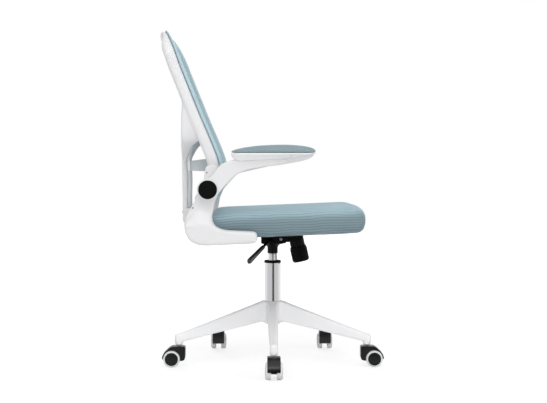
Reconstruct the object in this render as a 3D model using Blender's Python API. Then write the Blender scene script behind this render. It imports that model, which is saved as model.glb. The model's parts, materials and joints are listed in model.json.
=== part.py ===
"""Office task chair: five-star base on twin-wheel casters, gas lift, rocking mechanism,
cushioned seat, mesh back on a forked frame, and arms that flip up.

X points forward, Y to the sitter's left, Z up. The origin is on the swivel axis at floor level.
Sizes are in millimetres and degrees. The seat and all that rocks with it are drawn in a frame
on the tilt pin, the arms in frames on their hinge pins and each caster in one on its stem.
"""

import math

import bmesh
import bpy
from mathutils import Matrix, Vector

MM = 0.001
GAP = 0.3                     # clearance between pieces that touch
TURN_STEPS = 20               # facets round a turned piece

# Casters
CASTER_TRAILS = {"right": -90.0, "front": 0.0, "front_left": 90.0, "rear_left": 90.0, "rear": 180.0}
WHEEL_RADIUS = 25.0
WHEEL_STEPS = 18
WHEEL_WIDTH = 16.4
WHEEL_SPACING = 16.8          # between the inner faces of the two wheels
WHEEL_CAP_RADIUS = 19.0
CASTER_TRAIL = 21.5           # from the stem's axis back to the axle
AXLE_RADIUS = 3.0
HOOD_WIDTH = 37.0
HOOD_RISE = 37.0              # from the axle up to the hood's flat top
HOOD_FENDER = 2.2
HOOD_FRONT = 18.5             # from the stem's axis to the wall ahead of it
WHEEL_CLEARANCE = 1.0
STEM_RADIUS = 5.5
STEM_COLLAR_RADIUS = 8.5
STEM_COLLAR = 2.4
STEM_LENGTH_IN_HOOD = 26.0
STEM_LENGTH_IN_LEG = 24.0

# Star base
LEG_COUNT = 5
FIRST_LEG_ANGLE = -90.0
STEM_CIRCLE_RADIUS = 290.0
LEG_ROOT_WIDTH = 33.0
LEG_TIP_WIDTH = 24.0
LEG_TIP_UNDER = 10.0          # above the boss's lower end
LEG_TIP_HEIGHT = 25.0
LEG_ROOT_HEIGHT = 60.0
LEG_RISE = 50.0               # of the underside, from tip to root
LEG_WALL = 3.5
LEG_RIB = 3.0
LEG_BAYS = 3
BOSS_RADIUS = 12.0
HUB_LIFT = 55.0               # of the hub's lower edge above the boss's
HUB_HEIGHT = 65.0
HUB_WALL = 6.5

# Gas lift
TUBE_RADIUS = 25.0
TUBE_TAPER = 0.7              # lost in radius where the tube sits in the hub
TUBE_WALL = 2.5
TUBE_DROP = 4.0               # below the hub
TUBE_LENGTH = 183.5
COLLAR_HEIGHT = 7.2
COLLAR_SLEEVE = 60.0
CYLINDER_RADIUS = 14.0
CYLINDER_CLEAR = 14.7         # of the lowered cylinder above the piston rod's shoulder
CYLINDER_SHOW = 21.0          # bare length between collar and socket
PISTON_RADIUS = 4.9
PISTON_LENGTH = 131.0
PISTON_SHOULDER = 4.0
BEARING_RADIUS = 11.0
BEARING_HEIGHT = 4.7
CLIP_THICKNESS = 1.6
VALVE_RADIUS = 3.0
VALVE_STROKE = 5.0

# Rocking mechanism, drawn from the tilt pin
TILT_PIN_AHEAD = 24.0         # of the swivel axis
TILT_PIN_RISE = 45.5          # above the socket's lower end
TILT_PIN_RADIUS = 4.5
SEAT_PITCH = 2.3
TILT_RANGE = 15.0
SOCKET_WALL = 1.6
SOCKET_LENGTH = 18.0
HOUSING_HALF_WIDTH = 46.0
HOUSING_WALL = 3.0
HOUSING_REAR = 53.5           # from the tilt pin back to the rear roll
HOUSING_FRONT = 15.0
HOUSING_FLOOR = 15.5          # below the tilt pin
FLOOR_THICKNESS = 4.0
ROLL_RADIUS = 5.5
PLATE_UNDER = 15.5            # above the tilt pin
PLATE_THICKNESS = 2.5
PLATE_REAR = 60.0
PLATE_FRONT = 66.0
PLATE_HALF_WIDTH = 95.0
FLANGE_HALF_WIDTH = 52.5
FLANGE_THICKNESS = 2.5
FLANGE_DROP = 10.0            # below the tilt pin
KNOB_AHEAD = 51.0
KNOB_BELOW = 26.6
KNOB_LEAN = 10.3
KNOB_RADIUS = 25.5
KNOB_LENGTH = 47.0
KNOB_WALL = 3.5
CUP_RADIUS = 22.0
CUP_WALL = 3.0
BOLT_RADIUS = 4.0
SPRING_RADIUS = 12.0
SPRING_WIRE = 2.0
SPRING_TURNS = 5
TONGUE_REACH = 56.0
TONGUE_HALF_WIDTH = 12.0
TONGUE_THICKNESS = 5.0
FORK_HALF_GAP = 6.2

# Height lever, drawn from the tilt pin
LEVER_BELOW = 3.0
LEVER_BEHIND = 30.8           # where it passes the housing wall
LEVER_RADIUS = 4.0
LEVER_BUSH_RADIUS = 7.0
LEVER_PAST_AXIS = 8.0
LEVER_BEND = 59.0             # from the mid-plane
LEVER_SIDE_REACH = 196.0
LEVER_BACK_REACH = 94.7
LEVER_TIP_DROP = 56.0
GRIP_WIDTH = 13.0
GRIP_THICKNESS = 11.0

# Seat, drawn from the tilt pin along the seat plate
PAN_THICKNESS = 11.5
PAN_INSET = 22.0
SEAT_FRONT = 251.0
SEAT_REAR = 204.0
SEAT_HALF_WIDTH = 244.0
SEAT_CORNER = 72.0
CUSHION_THICKNESS = 76.0
CUSHION_SIDE_PULL = 4.0       # how far the sides draw in below the top edge
CUSHION_CROWN = 6.0

# Side brackets
BRACKET_GAP = 4.0             # from the cushion's side
BACK_SIDE_GAP = 23.0          # from the back's side to a bracket
NECK_THICKNESS = 18.0
HEEL_THICKNESS = 37.0
HEEL_SLOPE = 40.0             # from the neck's face down to the heel's
FLANGE_REACH = 150.0          # inner end of the foot's flange
HINGE_BEHIND = 200.7
HINGE_RISE = 160.7
HINGE_PIN_RADIUS = 6.0

# Arms, drawn from the hinge pin
ARM_HUB_RADIUS = 30.0
ARM_WIDTH = 29.6
ARM_EDGE = 3.0
CAP_RADIUS = 26.0
CAP_THICKNESS = 4.5
PAD_REAR = 63.0
PAD_FRONT = 301.0
PAD_OUTSET = 19.0             # of the pad's middle, out from the bracket's neck
PAD_WIDTH = 88.0
PAD_SEAT = 101.7              # of the tray's top above the hinge
PAD_THICKNESS = 24.0
TRAY_INSET = 2.0

# Back, drawn from the tilt pin
BACK_HALF_WIDTH = 225.0
BACK_BOTTOM = 100.0
BACK_TOP = 620.0
BACK_TOP_CORNER = 78.0
BACK_BOTTOM_CORNER = 52.0
BACK_WRAP = 22.0              # the sides stand this far ahead of the middle
RIM_WIDTH = 26.0
RIM_THICKNESS = 13.0
RIM_TOP_THICKNESS = 8.0
MESH_THICKNESS = 3.0
FRAME_DEPTH = 27.0
FRAME_TOP_DEPTH = 20.0
STRUT_WIDTH = 26.0
STRUT_DEPTH = 16.0
SPINE_BEHIND = 284.0
CROSSBAR_BOTTOM = 63.0
CROSSBAR_HEIGHT = 44.0
CROSSBAR_SWEEP = 32.0         # of its ends, forward
CROSSBAR_TAPER = 8.0          # lost in height at its ends
LUMBAR_Z = 228.0
LUMBAR_HEIGHT = 28.0
LUMBAR_THICKNESS = 7.0
LUMBAR_HOLD = 120.0           # from the mid-plane to where a strut holds the lumbar bar
STRUT_FRONT = 21.0            # of a strut's front ahead of the spine, there

# Heights from the floor, and other sizes that follow from the ones above
AXLE_Z = WHEEL_RADIUS * math.cos(math.pi / WHEEL_STEPS)
HOOD_TOP = AXLE_Z + HOOD_RISE
BOSS_BOTTOM = HOOD_TOP + STEM_COLLAR + 2 * GAP
HUB_BOTTOM = BOSS_BOTTOM + HUB_LIFT
HUB_TOP = HUB_BOTTOM + HUB_HEIGHT
TUBE_BOTTOM = HUB_BOTTOM - TUBE_DROP
TUBE_TOP = TUBE_BOTTOM + TUBE_LENGTH
COLLAR_TOP = TUBE_TOP + GAP + COLLAR_HEIGHT
SOCKET_BOTTOM = COLLAR_TOP + CYLINDER_SHOW
TILT_PIN_Z = SOCKET_BOTTOM + TILT_PIN_RISE
FLOOR_TOP = FLOOR_THICKNESS - HOUSING_FLOOR
CYLINDER_TOP = TILT_PIN_Z + FLOOR_TOP - 1.0
VALVE_TOP = TILT_PIN_Z - LEVER_BELOW - LEVER_RADIUS - GAP
PLATE_TOP = PLATE_UNDER + PLATE_THICKNESS
PAN_BOTTOM = PLATE_TOP + GAP
CUSHION_BOTTOM = PAN_BOTTOM + 1.7
CUSHION_TOP = CUSHION_BOTTOM + CUSHION_THICKNESS
NECK_IN = max(SEAT_HALF_WIDTH + BRACKET_GAP, BACK_HALF_WIDTH + BACK_SIDE_GAP)
NECK_OUT = NECK_IN + NECK_THICKNESS
ARM_IN = NECK_OUT + GAP
ARM_OUT = ARM_IN + ARM_WIDTH
PAD_MIDDLE = NECK_OUT + PAD_OUTSET

# Side view of the mesh rim's front: height above the tilt pin and place along X
BACK_PROFILE = ((100, -208), (134, -181), (185, -162), (230, -155), (271, -164), (386, -207), (620, -290))
# Upper run of a rear strut: height, place in from the back's side, lead over the spine, depth added
STRUT_FORK = ((272, 75, 7, 2), (292, 41, 9, 14), (316, 18, 11, 40), (366, 14, 14, 24), (428, 14, 20, -3))
# Side view of an ear, which joins the back's frame to a bracket
EAR_OUTLINE = ((-203, 190), (-183, 190), (-182, 224), (-197, 224))
# Side view of a bracket, from the foot's front end round the heel and the neck
FOOT_OUTLINE = ((-70, 4.5), (-68.5, 31), (-74.5, 38), (-150, 44.5), (-171, 49), (-188, 61))
NECK_OUTLINE = ((-194, 80), (-184, 124), (-173, 146), (-169, 172), (-170, 220), (-178, 228), (-195, 228),
                (-205.5, 216), (-211.5, 188), (-228, 150), (-240, 128), (-257, 104))
HEEL_OUTLINE = ((-273, 72), (-269, 36), (-254, 15), (-232, 5.5), (-208, 3.5))
# Upper edge of the heel, and the share of its slope that each point has
HEEL_TOP = ((-194, 80, 0.4), (-199, 97, 0.7), (-222, 113, 1.0), (-247, 103, 0.9))
# Side view of an arm: lower edge from the hub to the nose, then the seam that the tray sits on
ARM_LOWER = ((46, 8), (67, 30), (86, 46), (109, 55), (150, 63), (197, 68), (256, 78), (286, 88), (295, 96.5))
ARM_SEAM = ((286, 97.5), (244, 89.5), (150, 82), (92, 79.5), (80, 81.5))
ARM_UPPER = ((66, 82), (51, 77.5), (32, 67.5), (4, 31))

for leftover in list(bpy.data.objects):
    bpy.data.objects.remove(leftover, do_unlink=True)
COLLECTION = bpy.context.scene.collection

FINISHES = {
    "white": ((0.80, 0.80, 0.81, 1), 0.42, 0.0),
    "black": ((0.012, 0.012, 0.013, 1), 0.45, 0.0),
    "tyre": ((0.52, 0.53, 0.54, 1), 0.55, 0.0),
    "chrome": ((0.72, 0.72, 0.73, 1), 0.12, 1.0),
    "steel": ((0.55, 0.55, 0.56, 1), 0.35, 1.0),
    "fabric": ((0.30, 0.44, 0.50, 1), 0.9, 0.0),
}


# Building blocks

def arc(cx, cz, radius, start, end, steps):
    """Points along a circle, with angles in degrees."""
    angles = [math.radians(start + (end - start) * i / steps) for i in range(steps + 1)]
    return [(cx + radius * math.cos(a), cz + radius * math.sin(a)) for a in angles]


def inset(outline, distance):
    """A plane outline moved in by a distance, with mitred corners."""
    count = len(outline)
    area = sum(outline[i][0] * outline[(i + 1) % count][1] - outline[(i + 1) % count][0] * outline[i][1]
               for i in range(count))
    sign = 1.0 if area > 0 else -1.0
    moved = []
    for i in range(count):
        here = Vector(outline[i])
        back = (here - Vector(outline[i - 1])).normalized()
        ahead = (Vector(outline[(i + 1) % count]) - here).normalized()
        normals = [Vector((-d.y, d.x)) * sign for d in (back, ahead)]
        both = normals[0] + normals[1]
        moved.append(here + both * (distance / max(0.35, 1 + normals[0].dot(normals[1]))))
    return [(p.x, p.y) for p in moved]


def smooth_curve(points, at):
    """Height-to-place curve through points, by cubic pieces with averaged slopes."""
    slopes = []
    for i in range(len(points)):
        low, high = points[max(i - 1, 0)], points[min(i + 1, len(points) - 1)]
        slopes.append((high[1] - low[1]) / (high[0] - low[0]))
    i = 0
    while i < len(points) - 2 and at > points[i + 1][0]:
        i += 1
    (a, va), (b, vb) = points[i], points[i + 1]
    span = b - a
    t = (at - a) / span
    return (va * (1 + 2 * t) * (1 - t) ** 2 + slopes[i] * span * t * (1 - t) ** 2
            + vb * t * t * (3 - 2 * t) + slopes[i + 1] * span * t * t * (t - 1))


def blend(a, b, t):
    """Straight mix of two numbers, with t held between 0 and 1."""
    t = min(1.0, max(0.0, t))
    return a + (b - a) * t


def loft(bm, sections, closed=False):
    """Skin through sections of equal point counts, capped at both ends unless closed."""
    rings = [[bm.verts.new(p) for p in section] for section in sections]
    pairs = list(zip(rings, rings[1:])) + ([(rings[-1], rings[0])] if closed else [])
    for a, b in pairs:
        for i in range(len(a)):
            j = (i + 1) % len(a)
            bm.faces.new((a[i], a[j], b[j], b[i]))
    if not closed:
        bm.faces.new(rings[0])
        bm.faces.new(rings[-1])
    return bm


def turned(bm, profile, steps=TURN_STEPS, centre=(0, 0, 0), axis="Z", phase=0.0, lobes=0.0):
    """Revolve (radius, height) points; a profile that ends on the axis closes there."""
    def place(radius, height, k):
        angle = phase + 2 * math.pi * k / steps
        radius -= lobes * (k % 2) if radius > KNOB_RADIUS - 1 else 0.0
        u, v = radius * math.cos(angle), radius * math.sin(angle)
        local = {"Z": (u, v, height), "Y": (u, height, v)}[axis]
        return Vector(centre) + Vector(local)
    solid_core = profile[0][0] == 0
    rings = []
    for radius, height in profile:
        if radius == 0:
            rings.append([bm.verts.new(place(0, height, 0))])
        else:
            rings.append([bm.verts.new(place(radius, height, k)) for k in range(steps)])
    pairs = list(zip(rings, rings[1:])) + ([] if solid_core else [(rings[-1], rings[0])])
    for a, b in pairs:
        for k in range(steps):
            m = (k + 1) % steps
            corners = ([a[k], a[m]] if len(a) > 1 else [a[0]]) + ([b[m], b[k]] if len(b) > 1 else [b[0]])
            bm.faces.new(corners)
    return bm


def slab(bm, outline, low, high, edge, side=1):
    """Side-view outline given a width along Y, with its edges eased."""
    eased = inset(outline, edge)
    rows = ((low, eased), (low + edge, outline), (high - edge, outline), (high, eased))
    return loft(bm, [[(x, side * y, z) for x, z in row] for y, row in rows])


def block(bm, low, high):
    """Rectangular block between two corners."""
    (x0, y0, z0), (x1, y1, z1) = low, high
    return loft(bm, [[(x0, y0, z), (x1, y0, z), (x1, y1, z), (x0, y1, z)] for z in (z0, z1)])


def rounded_box_outline(half_x, half_y, corner, steps):
    """Closed plan outline of a rounded rectangle about the origin."""
    points = []
    for cx, cy, start in ((1, 1, 0), (-1, 1, 90), (-1, -1, 180), (1, -1, 270)):
        points += arc(cx * (half_x - corner), cy * (half_y - corner), corner, start, start + 90, steps)
    return points


def tube(bm, path, radius, sides):
    """Round bar along a path of points, with square ends."""
    sections = []
    for i, point in enumerate(path):
        along = (Vector(path[min(i + 1, len(path) - 1)]) - Vector(path[max(i - 1, 0)])).normalized()
        across = along.cross(Vector((0.11, 0.07, 1))).normalized()
        up = across.cross(along)
        sections.append([Vector(point) + radius * (math.cos(a) * across + math.sin(a) * up)
                         for a in (2 * math.pi * k / sides for k in range(sides))])
    return loft(bm, sections)


def solid(bm):
    """Bare object from a mesh drawn in millimetres, faces outward."""
    bmesh.ops.scale(bm, vec=(MM, MM, MM), verts=bm.verts)
    bmesh.ops.recalc_face_normals(bm, faces=bm.faces)
    mesh = bpy.data.meshes.new("draft")
    bm.to_mesh(mesh)
    bm.free()
    draft = bpy.data.objects.new("draft", mesh)
    COLLECTION.objects.link(draft)
    return draft


def combine(target, operation, *others):
    """Join other solids to a target, or cut them from it."""
    for other in others:
        step = target.modifiers.new("step", "BOOLEAN")
        step.operation, step.solver, step.object = operation, "EXACT", other
        shaped = target.evaluated_get(bpy.context.evaluated_depsgraph_get())
        mesh = bpy.data.meshes.new_from_object(shaped)
        target.modifiers.clear()
        target.data = mesh
        bpy.data.objects.remove(other, do_unlink=True)
    return target


def frame(name, at=(0, 0, 0), parent=None, pitch=0.0, heading=0.0):
    """Empty that carries the pieces of one body, with its origin on that body's axis."""
    carrier = bpy.data.objects.new(name, None)
    COLLECTION.objects.link(carrier)
    carrier.parent = parent
    carrier.location = Vector(at) * MM
    carrier.rotation_euler = (0, -math.radians(pitch), math.radians(heading))
    return carrier


def finished(name, mesh, finish, parent):
    """Named piece with its own material, smooth over its round faces."""
    colour, roughness, metallic = FINISHES[finish]
    material = bpy.data.materials.new(f"{name}_{finish}")
    material.use_nodes = True
    shader = material.node_tree.nodes["Principled BSDF"]
    shader.inputs["Base Color"].default_value = colour
    shader.inputs["Roughness"].default_value = roughness
    shader.inputs["Metallic"].default_value = metallic
    material.diffuse_color = colour
    piece = bpy.data.objects.new(name, mesh)
    piece.parent = parent
    COLLECTION.objects.link(piece)
    if not mesh.materials:
        mesh.materials.append(None)
    piece.material_slots[0].link = "OBJECT"
    piece.material_slots[0].material = material
    mesh.shade_smooth()
    mesh.set_sharp_from_angle(angle=math.radians(32))
    return piece


def settle(name, draft, finish, parent):
    """Turn a draft solid into a finished piece."""
    mesh = draft.data
    bpy.data.objects.remove(draft, do_unlink=True)
    mesh.name = name
    return finished(name, mesh, finish, parent)


# Star base and casters

def leg_section(radius):
    """Arched cross-section of a leg at a distance from the swivel axis."""
    along = (radius - 30.0) / (STEM_CIRCLE_RADIUS - 38.0)
    half = blend(LEG_ROOT_WIDTH, LEG_TIP_WIDTH, along) / 2
    under = BOSS_BOTTOM + LEG_TIP_UNDER + LEG_RISE * (1 - min(along, 1.05))
    top = under + blend(LEG_ROOT_HEIGHT, LEG_TIP_HEIGHT, along)
    return half, under, top


def base_piece(root):
    """Hub and five hollow legs, ribbed below and bossed at their ends."""
    hub = bmesh.new()
    bore_top, bore_low = TUBE_RADIUS + GAP, TUBE_RADIUS - TUBE_TAPER + GAP
    turned(hub, ((bore_low, HUB_BOTTOM), (bore_low + HUB_WALL + 3, HUB_BOTTOM),
                 (bore_low + HUB_WALL + 3, HUB_BOTTOM + 14), (bore_top + HUB_WALL, HUB_TOP - 12),
                 (bore_top + HUB_WALL - 1, HUB_TOP - 2), (bore_top + HUB_WALL - 3, HUB_TOP),
                 (bore_top, HUB_TOP)))
    legs, pockets, bosses, bores = bmesh.new(), bmesh.new(), bmesh.new(), bmesh.new()
    root_radius = bore_top + 2.2
    for k in range(LEG_COUNT):
        turn = Matrix.Rotation(math.radians(FIRST_LEG_ANGLE + 360.0 / LEG_COUNT * k), 3, "Z")
        end = STEM_CIRCLE_RADIUS + BOSS_RADIUS
        sections = []
        for radius, drop in ((root_radius, 0), (blend(root_radius, end, 0.15), 0),
                             (blend(root_radius, end, 0.45), 0), (end - 60, 0), (end - 10, 0),
                             (end - 2.5, 1.5), (end, 4.5)):
            half, under, top = leg_section(radius)
            top -= drop
            half -= drop * 0.25
            outline = ((-half, under), (half, under), (half - 1.5, top - 9), (half - 4, top - 2.5),
                       (half - 9, top), (9 - half, top), (4 - half, top - 2.5), (1.5 - half, top - 9))
            sections.append([turn @ Vector((radius, y, z)) for y, z in outline])
        loft(legs, sections)
        first, last = bore_top + HUB_WALL + 8, STEM_CIRCLE_RADIUS - BOSS_RADIUS - 5
        bay = (last - first + LEG_RIB) / LEG_BAYS
        for b in range(LEG_BAYS):
            walls = []
            for radius in (first + b * bay, first + (b + 1) * bay - LEG_RIB):
                half, under, top = leg_section(radius)
                half -= LEG_WALL + 1.5
                walls.append([turn @ Vector((radius, y, z)) for y, z in
                              ((-half, under - 4), (half, under - 4), (half - 2, top - LEG_WALL - 3),
                               (2 - half, top - LEG_WALL - 3))])
            loft(pockets, walls)
        stem = turn @ Vector((STEM_CIRCLE_RADIUS, 0, 0))
        turned(bosses, ((0, BOSS_BOTTOM), (BOSS_RADIUS - 1, BOSS_BOTTOM),
                        (BOSS_RADIUS - 0.4, BOSS_BOTTOM + 1.5),
                        (BOSS_RADIUS - 0.4, BOSS_BOTTOM + STEM_LENGTH_IN_LEG + 2),
                        (0, BOSS_BOTTOM + STEM_LENGTH_IN_LEG + 2)), 14, stem)
        hole = STEM_RADIUS + GAP
        turned(bores, ((0, BOSS_BOTTOM - 5), (hole, BOSS_BOTTOM - 5),
                       (hole, BOSS_BOTTOM + STEM_LENGTH_IN_LEG + GAP),
                       (0, BOSS_BOTTOM + STEM_LENGTH_IN_LEG + GAP)), 10, stem)
    star = combine(solid(hub), "UNION", solid(legs), solid(bosses))
    combine(star, "DIFFERENCE", solid(pockets), solid(bores))
    settle("star_base", star, "white", root)


def hood_mesh():
    """Caster hood: a block round the stem and a fender over two wheels, about a middle web."""
    cx, cz = CASTER_TRAIL, AXLE_Z
    well = WHEEL_RADIUS + WHEEL_CLEARANCE
    outer = well + HOOD_FENDER
    web = AXLE_Z - AXLE_RADIUS - 5
    outline = [(-HOOD_FRONT + 9.5, web + 2.5), (cx + 6, web), (cx + outer - 9, cz - 4), (cx + outer, cz)]
    outline += arc(cx, cz, outer, 12, 40, 3)
    outline += [(cx + 0.40 * outer, HOOD_TOP - 8.5), (cx + 4, HOOD_TOP - 2.5), (cx - 3.5, HOOD_TOP),
                (-HOOD_FRONT + 5, HOOD_TOP), (-HOOD_FRONT + 1.5, HOOD_TOP - 1.5),
                (-HOOD_FRONT, HOOD_TOP - 5), (-HOOD_FRONT, cz + 6), (-HOOD_FRONT + 2.5, web + 5)]
    hood = solid(slab(bmesh.new(), outline, -HOOD_WIDTH / 2, HOOD_WIDTH / 2, 1.2))
    wells = bmesh.new()
    for side in (-1, 1):
        turned(wells, ((0, side * (WHEEL_SPACING / 2 - 0.5)), (well, side * (WHEEL_SPACING / 2 - 0.5)),
                       (well, side * 40), (0, side * 40)), WHEEL_STEPS, (cx, 0, cz), "Y")
    holes = bmesh.new()
    stem, low = STEM_RADIUS + GAP, HOOD_TOP - STEM_LENGTH_IN_HOOD - GAP
    turned(holes, ((0, low), (stem, low), (stem, HOOD_TOP + 5), (0, HOOD_TOP + 5)), 10)
    axle = AXLE_RADIUS + GAP
    turned(holes, ((0, -20), (axle, -20), (axle, 20), (0, 20)), 10, (cx, 0, cz), "Y")
    return combine(hood, "DIFFERENCE", solid(wells), solid(holes))


def wheel_mesh(side):
    """Caster wheel with a rounded tread and a shallow dished cap."""
    inner = WHEEL_SPACING / 2
    outer = inner + WHEEL_WIDTH
    bore = AXLE_RADIUS + GAP
    cap = WHEEL_CAP_RADIUS
    profile = ((0, outer - 3), (bore, outer - 3), (bore, inner), (WHEEL_RADIUS, inner),
               (WHEEL_RADIUS, outer - 6.5), (WHEEL_RADIUS - 1.6, outer - 2.8),
               (cap + 0.6, outer - 0.8), (cap, outer - 1.4), (0, outer))
    bm = turned(bmesh.new(), [(r, side * y) for r, y in profile], WHEEL_STEPS,
                (CASTER_TRAIL, 0, AXLE_Z), "Y", math.pi / 2 + math.pi / WHEEL_STEPS)
    return solid(bm)


def caster_pieces(root):
    """Five casters, each turned to the way that it trails at rest."""
    hood = hood_mesh()
    low, top = HOOD_TOP - STEM_LENGTH_IN_HOOD, BOSS_BOTTOM + STEM_LENGTH_IN_LEG
    collar = HOOD_TOP + GAP
    stem = solid(turned(bmesh.new(), (
        (0, low), (STEM_RADIUS, low), (STEM_RADIUS, collar), (STEM_COLLAR_RADIUS, collar),
        (STEM_COLLAR_RADIUS, collar + STEM_COLLAR), (STEM_RADIUS, collar + STEM_COLLAR),
        (STEM_RADIUS, top - 2), (STEM_RADIUS - 1.5, top), (0, top)), 10))
    reach = WHEEL_SPACING / 2 + WHEEL_WIDTH - 3 - GAP
    axle = solid(turned(bmesh.new(), (
        (0, -reach), (AXLE_RADIUS, -reach), (AXLE_RADIUS, reach), (0, reach)), 10,
        (CASTER_TRAIL, 0, AXLE_Z), "Y"))
    wheels = [wheel_mesh(1), wheel_mesh(-1)]
    for k, (place, heading) in enumerate(CASTER_TRAILS.items()):
        angle = math.radians(FIRST_LEG_ANGLE + 360.0 / LEG_COUNT * k)
        at = (STEM_CIRCLE_RADIUS * math.cos(angle), STEM_CIRCLE_RADIUS * math.sin(angle), 0)
        carrier = frame(f"caster_{place}", at, root, heading=heading)
        finished(f"caster_hood_{place}", hood.data, "black", carrier)
        finished(f"caster_stem_{place}", stem.data, "steel", carrier)
        finished(f"caster_axle_{place}", axle.data, "steel", carrier)
        for number, wheel in enumerate(wheels, 1):
            finished(f"wheel_{place}_{number}", wheel.data, "tyre", carrier)
    for draft in (hood, stem, axle, *wheels):
        bpy.data.objects.remove(draft, do_unlink=True)


# Gas lift

def lift_pieces(root):
    """Stand tube in the hub, with the guide collar, bearing, piston rod, cylinder and valve."""
    inner = TUBE_RADIUS - TUBE_WALL
    low = TUBE_RADIUS - TUBE_TAPER
    hole = PISTON_RADIUS + GAP
    plate_top = TUBE_BOTTOM + 3
    tube_profile = ((hole, TUBE_BOTTOM), (low - 1, TUBE_BOTTOM), (low, HUB_BOTTOM), (TUBE_RADIUS, HUB_TOP),
                    (TUBE_RADIUS, TUBE_TOP), (inner, TUBE_TOP), (inner, HUB_TOP),
                    (low - TUBE_WALL, plate_top), (hole, plate_top))
    settle("stand_tube", solid(turned(bmesh.new(), tube_profile)), "chrome", root)
    guide = CYLINDER_RADIUS + GAP
    collar_profile = ((guide, TUBE_TOP - COLLAR_SLEEVE), (inner - GAP, TUBE_TOP - COLLAR_SLEEVE),
                      (inner - GAP, TUBE_TOP + GAP), (TUBE_RADIUS + 0.3, TUBE_TOP + GAP),
                      (TUBE_RADIUS + 0.3, COLLAR_TOP - 2), (TUBE_RADIUS - 1.5, COLLAR_TOP),
                      (guide, COLLAR_TOP))
    settle("tube_collar", solid(turned(bmesh.new(), collar_profile)), "black", root)
    bearing_top = plate_top + GAP + BEARING_HEIGHT
    settle("thrust_bearing", solid(turned(bmesh.new(), (
        (hole, plate_top + GAP), (BEARING_RADIUS, plate_top + GAP), (BEARING_RADIUS, bearing_top),
        (hole, bearing_top)), 16)), "steel", root)
    rod_low = TUBE_BOTTOM - GAP - CLIP_THICKNESS - 2
    rod_top = rod_low + PISTON_LENGTH
    shoulder = bearing_top + GAP
    step = PISTON_RADIUS + 3
    settle("piston_rod", solid(turned(bmesh.new(), (
        (0, rod_low), (PISTON_RADIUS, rod_low), (PISTON_RADIUS, shoulder), (step, shoulder),
        (step, shoulder + PISTON_SHOULDER), (PISTON_RADIUS, shoulder + PISTON_SHOULDER),
        (PISTON_RADIUS, rod_top), (0, rod_top)), 12)), "steel", root)
    settle("retaining_clip", solid(turned(bmesh.new(), (
        (hole, TUBE_BOTTOM - GAP - CLIP_THICKNESS), (hole + 4, TUBE_BOTTOM - GAP - CLIP_THICKNESS),
        (hole + 4, TUBE_BOTTOM - GAP), (hole, TUBE_BOTTOM - GAP)), 12)), "steel", root)
    bottom = shoulder + PISTON_SHOULDER + CYLINDER_CLEAR
    valve_hole = VALVE_RADIUS + GAP
    valve_low = VALVE_TOP - 2 * VALVE_STROKE - 8
    taper = CYLINDER_RADIUS - 0.6
    settle("gas_cylinder", solid(turned(bmesh.new(), (
        (0, rod_top + 3), (hole, rod_top + 3), (hole, bottom), (CYLINDER_RADIUS - 1, bottom),
        (CYLINDER_RADIUS, bottom + 1), (CYLINDER_RADIUS, SOCKET_BOTTOM - 2.4), (taper, SOCKET_BOTTOM - 1),
        (taper, CYLINDER_TOP), (valve_hole, CYLINDER_TOP), (valve_hole, valve_low - VALVE_STROKE - GAP),
        (0, valve_low - VALVE_STROKE - GAP)))), "chrome", root)
    settle("valve_button", solid(turned(bmesh.new(), (
        (0, valve_low), (VALVE_RADIUS, valve_low), (VALVE_RADIUS, VALVE_TOP),
        (0, VALVE_TOP)), 12)), "black", root)


# Rocking mechanism and lever

def plate_line(x, angle):
    """Height of the seat plate's underside above the tilt pin, at a place along X and a pitch."""
    return PLATE_UNDER / math.cos(math.radians(angle)) + x * math.tan(math.radians(angle))


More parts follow.
